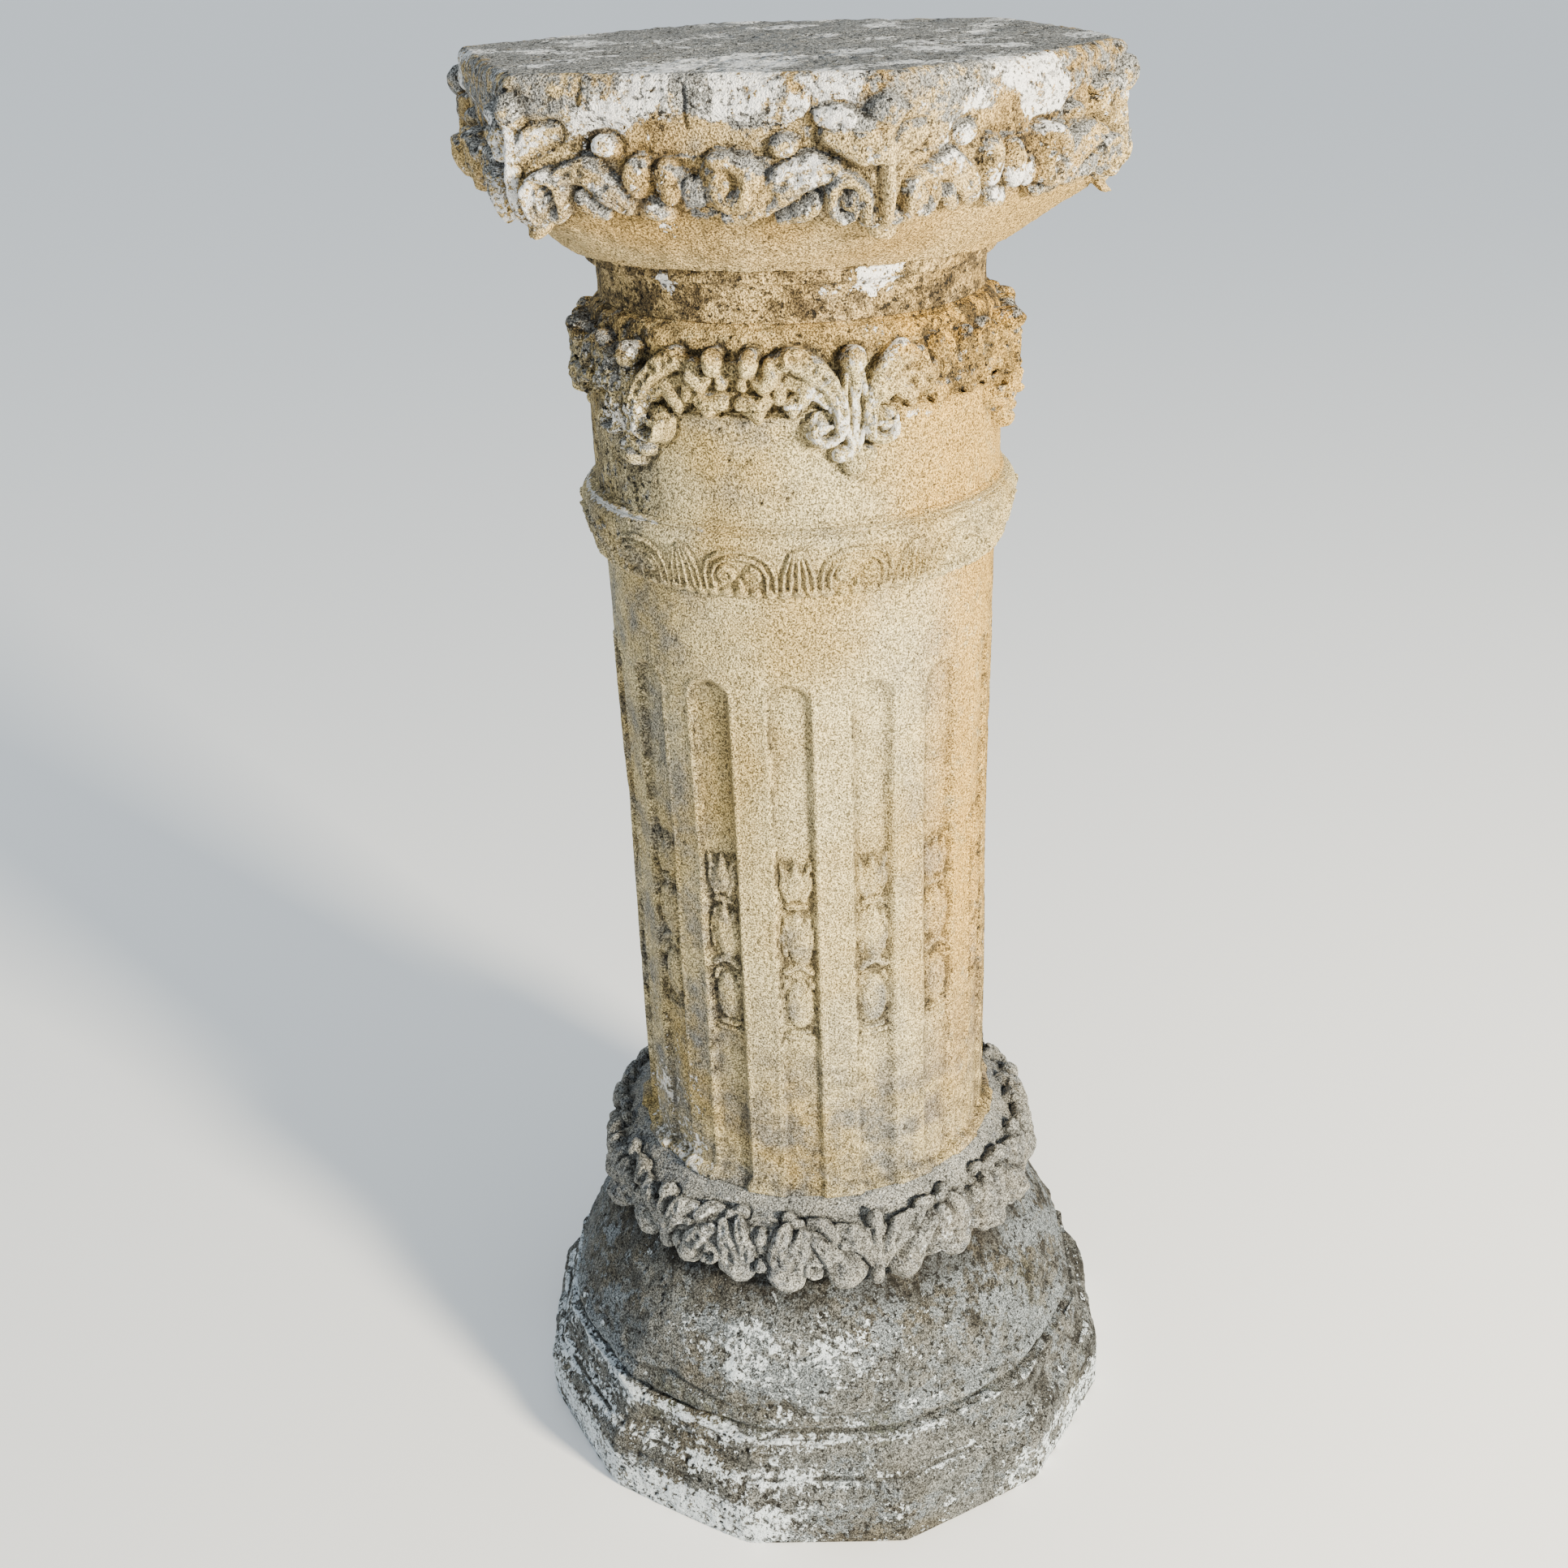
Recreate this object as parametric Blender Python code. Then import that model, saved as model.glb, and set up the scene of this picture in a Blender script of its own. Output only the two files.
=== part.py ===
"""Cast concrete column pedestal: stepped foot, fluted shaft with three carved bands, six-sided capital.

Metres, +Z up. The origin is the middle of the underside. Angles run from the front, -Y, towards +X.
Each casting is one surface of revolution whose plan turns from round to many-sided, and whose carving
is a height over that surface. The dense surface is thinned where it is plain.
"""
import math

import bpy
import numpy as np

# Layout of the repeats
CORNERS = 6                  # corners of the capital, each with its own spray of leaves
FOOT_SIDES = 12
FLUTES = 15
BAND_REPEATS = 12            # repeats round the carved ring
CORNER_ANGLE = math.radians(30.0)     # first corner, from the front
FLUTE_ANGLE = math.radians(11.0)      # middle of the first flute, from the front
JOINT_GAP = 0.0003           # castings rest on each other, dry
ARRIS = 0.0012               # worn edge at each joint

# Foot
FOOT_R = 0.223               # corner radius of the twelve-sided band
FOOT_BAND_H = 0.036
FOOT_SHOULDER_H = 0.018      # shoulder above the band, worn soft
FOOT_SHOULDER_RUN = 0.008
FOOT_LEDGE_H = 0.003         # narrow ledge over the shoulder
FOOT_LEDGE_RUN = 0.005
FOOT_FACE_H = 0.024          # steep face between the ledges
FOOT_FACE_RUN = 0.006
BELL_LEDGE_H = 0.003         # ledge that the bell stands on
BELL_LEDGE_RUN = 0.010
BELL_TOE_H = 0.012           # rounded toe of the bell
BELL_TOE_BULGE = 0.003
BELL_H = 0.087
BELL_RUN = 0.052             # inward run of the bell
BELL_BULGE = 0.007
SEAT_R = FOOT_R - FOOT_SHOULDER_RUN - FOOT_LEDGE_RUN - FOOT_FACE_RUN - BELL_LEDGE_RUN - BELL_RUN

# Shaft
NECKING_H = 0.008            # short plain neck that stands on the foot
COLLAR_R = 0.156             # leaf collar, without the relief of its leaves
COLLAR_FACE_H = 0.042
COLLAR_SHOULDER = 0.009      # rounding between the collar's face and its apron
COLLAR_APRON_H = 0.011
SHAFT_R = 0.125
SHAFT_H = 0.443
SHAFT_SWELL = 0.0035         # the shaft widens by this towards the carved ring
RING_BEAD = 0.0045           # plain bead between the collar and the flutes
BAND_R = 0.1420              # carved ring
BAND_H = 0.039
DRUM_R = 0.1315
DRUM_H = 0.084
NECK_R = 0.1215
NECK_H = 0.0305
BEAD = 0.0022                # thin beads at the carved ring and the garland
GARLAND_FOOT = 0.0294        # from the carved ring up to the tips of the garland

# Capital
CAPITAL_NECK_H = 0.016
FILLET_R = 0.128
FILLET_H = 0.016
BOWL_LIP = 0.0125            # the bowl overhangs the fillet by this
BOWL_H = 0.038
BOWL_BULGE = 0.001
CROWN_FOOT_R = 0.200         # corner radii of the six-sided crown
CROWN_FACE_R = 0.210
RIM_R = 0.2145
CROWN_LIP_H = 0.010
CROWN_FACE_H = 0.034
RIM_H = 0.026
RIM_ROUND = 0.009
CORNER_WEAR = (0.004, 0.010, 0.008, 0.005, 0.0, 0.004)   # lost at each corner, from the first one round
WEAR_SPREAD = math.radians(13.0)

# Flutes and their stacked buds
FLUTE_HALF_W = 0.0132
FLUTE_DEPTH = 0.0032
FLUTE_EDGE = 0.0030
FLUTE_BEAD = 0.0010
FLUTE_TOP_GAP = 0.062        # from the top of the flutes to the carved ring
BUD_STACK_H = 0.138
BUD_STACK_FOOT = 0.118       # from the collar bead up to the stack
BUD_RISE = 0.0030

# Relief of the carving
GARLAND_H = 0.077
GARLAND_RISE = 0.019
CROWN_CARVING_H = 0.080
CROWN_CARVING_DROP = 0.011   # the crown's carving starts this far below its lower edge, on the bowl
CROWN_RISE = 0.012
COLLAR_CARVING_H = 0.056
COLLAR_RISE = 0.011
BAND_RISE = 0.0026

# Fineness of the surface, and how far the corners of each plan are worn round, as shares of the radius
FOOT_SOFTNESS = 0.006
CAPITAL_SOFTNESS = 0.012
COLUMNS = 360
ROW_PITCH = 0.0028
TRIANGLES = {"foot": 1300, "shaft": 5400, "capital": 3200}


class Outline:
    """Half section, drawn upwards, with a plan weight: 0 is round, 1 is many-sided."""

    def __init__(self, r, z, plan=0.0):
        self.points = [(r, z, plan)]
        self.marks = {}
        self.length = 0.0

    def mark(self, name):
        self.marks[name] = self.length

    def to(self, r, z, plan=None):
        last = self.points[-1]
        plan = last[2] if plan is None else plan
        run = math.hypot(r - last[0], z - last[1])
        steps = max(1, math.ceil(run / ROW_PITCH))
        for i in range(1, steps + 1):
            t = i / steps
            self.points.append(tuple(p + (q - p) * t for p, q in zip(last, (r, z, plan))))
        self.length += run
        return self

    def up(self, dz):
        return self.to(self.points[-1][0], self.points[-1][1] + dz)

    def curve(self, dr, dz, first, plan=None, parts=6):
        """Quarter ellipse. first is "out" or "up": the way that it sets off."""
        r, z, p = self.points[-1]
        goal = p if plan is None else plan
        for i in range(1, parts + 1):
            t = 0.5 * math.pi * i / parts
            quick, slow = math.sin(t), 1.0 - math.cos(t)
            fr, fz = (quick, slow) if first == "out" else (slow, quick)
            self.to(r + dr * fr, z + dz * fz, p + (goal - p) * i / parts)
        return self

    def roll(self, dr, dz, bulge, plan=None, parts=8):
        """Bowed line to the point dr, dz away, with its belly out by bulge."""
        r, z, p = self.points[-1]
        goal = p if plan is None else plan
        for i in range(1, parts + 1):
            t = i / parts
            self.to(r + dr * t + bulge * math.sin(math.pi * t), z + dz * t, p + (goal - p) * t)
        return self


def smooth(t):
    t = np.clip(t, 0.0, 1.0)
    return t * t * (3.0 - 2.0 * t)


def folded(angles, first, count):
    """Angle from the nearest of count even places, without sign."""
    pitch = 2.0 * math.pi / count
    return np.abs((angles - first + pitch / 2) % pitch - pitch / 2)


def plan_share(angles, sides, softness):
    """Radius of a many-sided plan as a share of its corner radius: a soft minimum of it and a circle."""
    half = math.pi / sides
    sharp = math.cos(half) / np.cos(half - folded(angles, CORNER_ANGLE, sides))
    lift = 0.35 * softness
    return lift - softness * np.log(np.exp(-sharp / softness) + np.exp(-1.0 / softness))


def corner_wear(angles):
    """Depth that weather and knocks have taken off the crown round each corner."""
    lost = np.zeros_like(angles)
    for i, depth in enumerate(CORNER_WEAR):
        away = folded(angles, CORNER_ANGLE + i * 2.0 * math.pi / CORNERS, 1)
        lost += depth * np.exp(-(away / WEAR_SPREAD) ** 2)
    return lost


def ridge(x, y, points, widths, rises):
    """Rounded ridge along a line of points, each with its own half width and rise."""
    height = np.zeros(np.broadcast(x, y).shape)
    if len(points) == 1:
        points, widths, rises = points * 2, widths * 2, rises * 2
    for i in range(len(points) - 1):
        (ax, ay), (bx, by) = points[i], points[i + 1]
        dx, dy = bx - ax, by - ay
        span = dx * dx + dy * dy
        t = np.clip(((x - ax) * dx + (y - ay) * dy) / span, 0.0, 1.0) if span > 0 else np.zeros_like(height)
        width = widths[i] + (widths[i + 1] - widths[i]) * t
        rise = rises[i] + (rises[i + 1] - rises[i]) * t
        away = ((x - ax - dx * t) ** 2 + (y - ay - dy * t) ** 2) / width ** 2
        height = np.maximum(height, rise * np.clip(1.0 - away, 0.0, 1.0) ** 0.7)
    return height


def volute(x, y, centre, radius, start, rise, turns=1.2, side=1.0, parts=14):
    """Coil that winds in from start, an angle in degrees, round a raised eye."""
    points = []
    for i in range(parts + 1):
        t = i / parts
        angle = math.radians(start) + side * turns * 2.0 * math.pi * t
        reach = radius * (1.0 - 0.62 * t)
        points.append((centre[0] + reach * math.cos(angle), centre[1] + reach * math.sin(angle)))
    widths = [radius * (0.40 - 0.10 * i / parts) for i in range(parts + 1)]
    rises = [rise * (0.80 + 0.20 * i / parts) for i in range(parts + 1)]
    bed = ridge(x, y, [centre], [1.15 * radius], [0.55 * rise])
    eye = ridge(x, y, [centre], [0.36 * radius], [1.05 * rise])
    return np.maximum(np.maximum(bed, eye), ridge(x, y, points, widths, rises))


def spray(x, y, half, high, strokes):
    """Ridges given as shares: places of half a bay and of the carving's height, widths of its height."""
    height = np.zeros(np.broadcast(x, y).shape)
    for points, widths, rises in strokes:
        real = [(px * half, py * high) for px, py in points]
        height = np.maximum(height, ridge(x, y, real, [w * high for w in widths], rises))
    return height


def garland(x, y, half):
    """Ball, stem and drop at each corner, with scrolled arms and a pair of lobes between the corners."""
    high, rise = GARLAND_H, GARLAND_RISE
    strokes = [
        ([(0.00, 0.87)], [0.105], [0.75 * rise]),
        ([(0.00, 0.78), (0.00, 0.20)], [0.080, 0.040], [0.60 * rise, 0.55 * rise]),
        ([(0.00, 0.11)], [0.090], [0.50 * rise]),
        ([(0.50, 0.82), (0.34, 0.86), (0.18, 0.73), (0.09, 0.50), (0.09, 0.32)],
         [0.060, 0.085, 0.085, 0.070, 0.060],
         [0.45 * rise, 0.60 * rise, 0.85 * rise, 0.95 * rise, 0.95 * rise]),
        ([(0.48, 0.61), (0.36, 0.66)], [0.070, 0.050], [0.45 * rise, 0.40 * rise]),
        ([(0.82, 0.88)], [0.125], [0.95 * rise]),
        ([(0.86, 0.64)], [0.095], [0.50 * rise]),
        ([(0.66, 0.74), (0.60, 0.60)], [0.070, 0.055], [0.35 * rise, 0.35 * rise]),
        ([(1.00, 0.56)], [0.060], [0.30 * rise]),
    ]
    coil = volute(x, y, (0.21 * half, 0.38 * high), 0.125 * high, 160.0, rise)
    return np.maximum(spray(x, y, half, high, strokes), coil)


def crown_leaves(x, y, half):
    """Rib and pendant on each corner, upper leaf, volute and trailing arm, and lobes at mid side."""
    high, rise = CROWN_CARVING_H, CROWN_RISE
    strokes = [
        ([(0.00, 0.22), (0.00, 0.97)], [0.060, 0.075], [0.60 * rise, 0.45 * rise]),
        ([(0.00, 0.12)], [0.095], [0.75 * rise]),
        ([(0.06, 0.58), (0.20, 0.66), (0.36, 0.81)], [0.070, 0.100, 0.060],
         [0.60 * rise, 0.75 * rise, 0.55 * rise]),
        ([(0.24, 0.52), (0.40, 0.50), (0.55, 0.33), (0.68, 0.20)], [0.070, 0.085, 0.075, 0.055],
         [0.85 * rise, 0.75 * rise, 0.65 * rise, 0.55 * rise]),
        ([(0.75, 0.62)], [0.100], [0.80 * rise]),
        ([(0.79, 0.42), (0.88, 0.40)], [0.110, 0.130], [0.75 * rise, 0.85 * rise]),
        ([(0.80, 0.22)], [0.080], [0.60 * rise]),
        ([(1.00, 0.30), (1.00, 0.60)], [0.060, 0.040], [0.50 * rise, 0.40 * rise]),
    ]
    coil = volute(x, y, (0.24 * half, 0.35 * high), 0.150 * high, 80.0, rise, side=-1.0)
    return np.maximum(spray(x, y, half, high, strokes), coil)


def collar_leaves(x, y, half):
    """Palmette with ball and drop under each corner, then a leaf, a scrolled knob and a small leaf."""
    high, rise = COLLAR_CARVING_H, COLLAR_RISE
    strokes = [
        ([(0.00, 0.86)], [0.130], [0.85 * rise]),
        ([(0.00, 0.64), (0.00, 0.10)], [0.060, 0.080], [0.60 * rise, 0.75 * rise]),
        ([(0.02, 0.00)], [0.100], [0.65 * rise]),
        ([(0.06, 0.42), (0.13, 0.72), (0.28, 0.90), (0.40, 0.86)], [0.080, 0.095, 0.105, 0.080],
         [0.60 * rise, 0.75 * rise, 0.80 * rise, 0.65 * rise]),
        ([(0.22, 0.28)], [0.210], [rise]),
        ([(0.50, 0.22), (0.49, 0.66)], [0.130, 0.110], [0.85 * rise, 0.65 * rise]),
        ([(0.82, 0.28)], [0.180], [rise]),
        ([(0.68, 0.60), (0.80, 0.74)], [0.080, 0.125], [0.60 * rise, 0.75 * rise]),
        ([(1.00, 0.30), (1.00, 0.72)], [0.080, 0.060], [0.55 * rise, 0.45 * rise]),
    ]
    return spray(x, y, half, high, strokes)


def band_scrolls(x, y, half):
    """Pairs of small coils and tongues on the carved ring, over a scalloped lip."""
    high = BAND_H
    coil = volute(x, y, (0.20 * half, 0.62 * high), 0.16 * high, 100.0, BAND_RISE, side=-1.0)
    tongues = spray(x, y, half, high, [
        ([(1.00, 0.30), (1.00, 0.86)], [0.060, 0.110], [BAND_RISE, BAND_RISE]),
        ([(0.72, 0.30), (0.80, 0.80)], [0.050, 0.070], [BAND_RISE, BAND_RISE]),
        ([(0.00, 0.10)], [0.240], [BAND_RISE]),
        ([(0.52, 0.10)], [0.220], [BAND_RISE]),
        ([(1.00, 0.10)], [0.220], [BAND_RISE]),
    ])
    return np.maximum(coil, tongues)


def flute(x, y, length):
    """Arched channel with a bead round it and three stacked buds; y runs up from the collar bead."""
    above = np.clip(y - (length - FLUTE_HALF_W), 0.0, None)
    inside = FLUTE_HALF_W - np.hypot(x, above)
    channel = -FLUTE_DEPTH * smooth(inside / FLUTE_EDGE)
    bead = FLUTE_BEAD * np.exp(-((inside + FLUTE_EDGE) / (0.5 * FLUTE_EDGE)) ** 2)
    high = BUD_STACK_H
    buds = spray(x, y - BUD_STACK_FOOT, FLUTE_HALF_W, high, [
        ([(0.0, 0.93), (0.0, 0.82)], [0.055, 0.070], [BUD_RISE, BUD_RISE]),
        ([(0.0, 0.63), (0.0, 0.53)], [0.072, 0.060], [BUD_RISE, BUD_RISE]),
        ([(0.0, 0.32), (0.0, 0.22)], [0.068, 0.075], [BUD_RISE, BUD_RISE]),
        ([(-0.4, 0.04), (0.4, 0.04)], [0.040, 0.040], [BUD_RISE, BUD_RISE]),
    ])
    return channel + bead * (y < length + FLUTE_HALF_W) + buds * (inside > 0.0)


def foot_top():
    below_bell = FOOT_BAND_H + FOOT_SHOULDER_H + FOOT_LEDGE_H + FOOT_FACE_H + BELL_LEDGE_H
    return below_bell + BELL_TOE_H + BELL_H


def foot_outline():
    """Twelve-sided band, shoulder, ledge, face and ledge, then the round bell that carries the shaft."""
    o = Outline(FOOT_R - ARRIS, 0.0, 1.0)
    o.to(FOOT_R, ARRIS).up(FOOT_BAND_H - ARRIS)
    o.roll(-FOOT_SHOULDER_RUN, FOOT_SHOULDER_H, 0.25 * FOOT_SHOULDER_RUN, parts=4)
    o.roll(-FOOT_LEDGE_RUN, FOOT_LEDGE_H, 0.0, parts=1)
    o.roll(-FOOT_FACE_RUN, FOOT_FACE_H, 0.0, plan=0.9, parts=4)
    o.roll(-BELL_LEDGE_RUN, BELL_LEDGE_H, 0.0, plan=0.6, parts=2)
    o.roll(0.0, BELL_TOE_H, BELL_TOE_BULGE, plan=0.4, parts=6)
    o.roll(-BELL_RUN, BELL_H - ARRIS, BELL_BULGE, plan=0.0, parts=12)
    o.to(SEAT_R - ARRIS, foot_top())
    return o


def shaft_foot():
    return foot_top() + JOINT_GAP + NECKING_H


def shaft_outline():
    """Collar, flutes, carved ring and garland drum, up to the joint with the capital."""
    low = foot_top() + JOINT_GAP
    o = Outline(SEAT_R - ARRIS, low)
    o.to(SEAT_R, low + ARRIS).up(NECKING_H - ARRIS)
    o.to(COLLAR_R - 0.5 * COLLAR_SHOULDER, shaft_foot())
    o.mark("collar")
    o.curve(0.5 * COLLAR_SHOULDER, 0.5 * COLLAR_SHOULDER, "out")
    o.up(COLLAR_FACE_H - 1.5 * COLLAR_SHOULDER)
    o.curve(-COLLAR_SHOULDER, COLLAR_SHOULDER, "up")
    o.to(SHAFT_R + 1.8 * RING_BEAD, shaft_foot() + COLLAR_FACE_H + COLLAR_APRON_H)
    o.roll(-0.8 * RING_BEAD, 1.4 * RING_BEAD, 0.4 * RING_BEAD)
    o.to(SHAFT_R, o.points[-1][1] + 0.3 * RING_BEAD)
    o.mark("shaft")
    ring_low = o.points[-1][1] + SHAFT_H
    o.to(SHAFT_R, o.points[-1][1] + 0.55 * SHAFT_H).to(SHAFT_R + SHAFT_SWELL, ring_low)
    o.mark("ring")
    o.curve(0.45 * (BAND_R - SHAFT_R - SHAFT_SWELL), 0.12 * BAND_H, "out", parts=3)
    o.to(BAND_R, ring_low + 0.76 * BAND_H)
    o.curve(DRUM_R + 2 * BEAD - BAND_R, 0.24 * BAND_H, "up")
    o.roll(-BEAD, 1.2 * BEAD, BEAD, parts=4).roll(-BEAD, 1.2 * BEAD, 0.5 * BEAD, parts=4)
    drum_low = o.points[-1][1]
    o.to(DRUM_R, drum_low + GARLAND_FOOT)
    o.mark("garland")
    o.up(0.42 * GARLAND_H)
    o.roll(0.0, 1.6 * BEAD, 0.7 * BEAD, parts=4).roll(0.0, 1.6 * BEAD, 0.7 * BEAD, parts=4)
    o.to(DRUM_R, drum_low + DRUM_H)
    o.curve(NECK_R - DRUM_R, NECK_H - ARRIS, "up")
    o.to(NECK_R - ARRIS, drum_low + DRUM_H + NECK_H)
    return o


def capital_outline(low):
    """Neck, fillet and bowl, then the six-sided crown with its worn rim."""
    o = Outline(NECK_R - ARRIS, low)
    o.to(NECK_R, low + ARRIS).roll(0.0, CAPITAL_NECK_H - ARRIS, -0.15 * ARRIS)
    o.curve(FILLET_R - NECK_R, 0.5 * FILLET_H, "up", parts=4)
    o.up(0.5 * FILLET_H)
    o.to(FILLET_R + BOWL_LIP, o.points[-1][1] + 0.1 * BOWL_LIP)
    o.roll(CROWN_FOOT_R - FILLET_R - BOWL_LIP, BOWL_H, BOWL_BULGE, plan=1.0, parts=12)
    o.mark("crown")
    o.roll(CROWN_FACE_R - CROWN_FOOT_R, CROWN_LIP_H, 0.2 * CROWN_LIP_H)
    o.up(CROWN_FACE_H)
    o.roll(RIM_R - CROWN_FACE_R, 0.25 * RIM_H, 0.0).up(0.75 * RIM_H - RIM_ROUND)
    o.curve(-RIM_ROUND, RIM_ROUND, "up")
    return o


def surface(outline, sides, softness, heights):
    """Rows of points round the outline, raised along its normal by the heights."""
    r, z, plan = (np.array(c)[:, None] for c in zip(*outline.points))
    run = np.hypot(np.diff(r[:, 0]), np.diff(z[:, 0]))
    along = np.concatenate([[0.0], np.cumsum(run)])[:, None]
    angles = (np.arange(COLUMNS) * 2.0 * math.pi / COLUMNS)[None, :]
    radius = r * (1.0 + plan * (plan_share(angles, sides, softness) - 1.0))
    dr, dz = np.gradient(r[:, 0]), np.gradient(z[:, 0])
    size = np.hypot(dr, dz)
    out, up = (dz / size)[:, None], (-dr / size)[:, None]
    lift = heights(angles, along)
    lift[0], lift[-1] = 0.0, 0.0
    radius, z = radius + lift * out, z + lift * up
    return np.stack([radius * np.sin(angles), -radius * np.cos(angles), z + 0.0 * angles], axis=-1)


def plain(angles, along):
    """No carving."""
    return np.zeros(np.broadcast(angles, along).shape)


def half_bay(radius, count):
    return radius * math.pi / count


def shaft_heights(outline):
    marks = outline.marks

    def heights(angles, along):
        spokes = folded(angles, CORNER_ANGLE, CORNERS)
        corner = folded(angles, CORNER_ANGLE, BAND_REPEATS)
        channel = folded(angles, FLUTE_ANGLE, FLUTES)
        h = collar_leaves(spokes * COLLAR_R, along - marks["collar"], half_bay(COLLAR_R, CORNERS))
        h += garland(spokes * DRUM_R, along - marks["garland"], half_bay(DRUM_R, CORNERS))
        h += band_scrolls(corner * BAND_R, along - marks["ring"], half_bay(BAND_R, BAND_REPEATS))
        on_shaft = (along > marks["shaft"]) & (along < marks["ring"])
        h += on_shaft * flute(channel * SHAFT_R, along - marks["shaft"], SHAFT_H - FLUTE_TOP_GAP)
        return h
    return heights


def capital_heights(outline):
    marks = outline.marks
    half_side = 0.5 * CROWN_FACE_R
    across = CROWN_FACE_R * math.cos(math.pi / CORNERS)

    def heights(angles, along):
        spokes = folded(angles, CORNER_ANGLE, CORNERS)
        from_corner = half_side - across * np.tan(math.pi / CORNERS - spokes)
        foot = marks["crown"] - CROWN_CARVING_DROP
        worn = corner_wear(angles) * smooth((along - foot) / CROWN_LIP_H)
        return crown_leaves(from_corner, along - foot, half_side) - worn
    return heights


def make_material(name, colour, roughness):
    material = bpy.data.materials.new(name)
    material.use_nodes = True
    shader = material.node_tree.nodes["Principled BSDF"]
    shader.inputs["Base Color"].default_value = (*colour, 1.0)
    shader.inputs["Roughness"].default_value = roughness
    shader.inputs["Metallic"].default_value = 0.0
    material.diffuse_color = (*colour, 1.0)
    return material


def make_casting(name, points, material):
    """Closes the rows with flat ends, thins the mesh and lays the ends flat again."""
    rows, columns = points.shape[:2]
    corners = [tuple(p) for p in points.reshape(-1, 3)]
    faces = []
    for i in range(rows - 1):
        for j in range(columns):
            k = (j + 1) % columns
            faces.append((i * columns + j, i * columns + k, (i + 1) * columns + k, (i + 1) * columns + j))
    faces.append(tuple(range(columns))[::-1])
    faces.append(tuple((rows - 1) * columns + j for j in range(columns)))
    dense = bpy.data.meshes.new(name + "_dense")
    dense.from_pydata(corners, [], faces)
    dense.update()
    casting = bpy.data.objects.new(name, dense)
    bpy.context.collection.objects.link(casting)
    thin = casting.modifiers.new("Thin", "DECIMATE")
    thin.ratio = TRIANGLES[name] / (2.0 * rows * columns)
    bpy.context.view_layer.update()
    graph = bpy.context.evaluated_depsgraph_get()
    mesh = bpy.data.meshes.new_from_object(casting.evaluated_get(graph))
    casting.modifiers.clear()
    casting.data = mesh
    bpy.data.meshes.remove(dense)
    mesh.name = name
    low, high = float(points[0, 0, 2]), float(points[-1, 0, 2])
    for vertex in mesh.vertices:
        for level in (low, high):
            if abs(vertex.co.z - level) < 0.5 * ARRIS:
                vertex.co.z = level
    mesh.materials.append(material)
    return casting


def clear_scene():
    for item in list(bpy.data.objects):
        bpy.data.objects.remove(item, do_unlink=True)


def build():
    clear_scene()
    grey = make_material("weathered_concrete", (0.34, 0.31, 0.27), 0.95)
    ochre = make_material("shaft_concrete", (0.56, 0.45, 0.30), 0.92)
    cream = make_material("capital_concrete", (0.60, 0.49, 0.34), 0.92)
    foot = foot_outline()
    make_casting("foot", surface(foot, FOOT_SIDES, FOOT_SOFTNESS, plain), grey)
    shaft = shaft_outline()
    make_casting("shaft", surface(shaft, CORNERS, CAPITAL_SOFTNESS, shaft_heights(shaft)), ochre)
    capital = capital_outline(shaft.points[-1][1] + JOINT_GAP)
    make_casting("capital", surface(capital, CORNERS, CAPITAL_SOFTNESS, capital_heights(capital)), cream)


build()
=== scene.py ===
import math

import bpy
import numpy as np
from mathutils import Matrix, Vector


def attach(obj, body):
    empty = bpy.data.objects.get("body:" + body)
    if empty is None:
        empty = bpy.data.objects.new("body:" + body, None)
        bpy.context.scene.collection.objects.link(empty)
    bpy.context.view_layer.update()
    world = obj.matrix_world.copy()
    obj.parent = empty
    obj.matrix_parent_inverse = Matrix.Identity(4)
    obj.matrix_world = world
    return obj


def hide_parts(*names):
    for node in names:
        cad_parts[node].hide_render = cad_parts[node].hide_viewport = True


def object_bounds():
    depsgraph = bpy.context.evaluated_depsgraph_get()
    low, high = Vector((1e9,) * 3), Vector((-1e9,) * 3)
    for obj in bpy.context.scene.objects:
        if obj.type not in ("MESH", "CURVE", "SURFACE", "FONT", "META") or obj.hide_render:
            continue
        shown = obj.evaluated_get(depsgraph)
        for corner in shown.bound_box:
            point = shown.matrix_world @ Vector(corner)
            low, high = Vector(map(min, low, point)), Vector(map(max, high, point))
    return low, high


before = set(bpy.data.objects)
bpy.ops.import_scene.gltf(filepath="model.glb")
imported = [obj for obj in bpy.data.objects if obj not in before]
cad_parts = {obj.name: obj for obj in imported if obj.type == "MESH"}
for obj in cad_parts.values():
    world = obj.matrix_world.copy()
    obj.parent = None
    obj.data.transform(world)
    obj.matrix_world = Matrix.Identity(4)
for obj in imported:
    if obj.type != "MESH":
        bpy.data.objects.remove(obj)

CAD_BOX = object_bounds()

# Layout of the repeats
CORNERS = 6
FOOT_SIDES = 12
FLUTES = 15
BAND_REPEATS = 12
CORNER_ANGLE = math.radians(30.0)
FLUTE_ANGLE = math.radians(11.0)
JOINT_GAP = 0.0003
ARRIS = 0.0012

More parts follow.
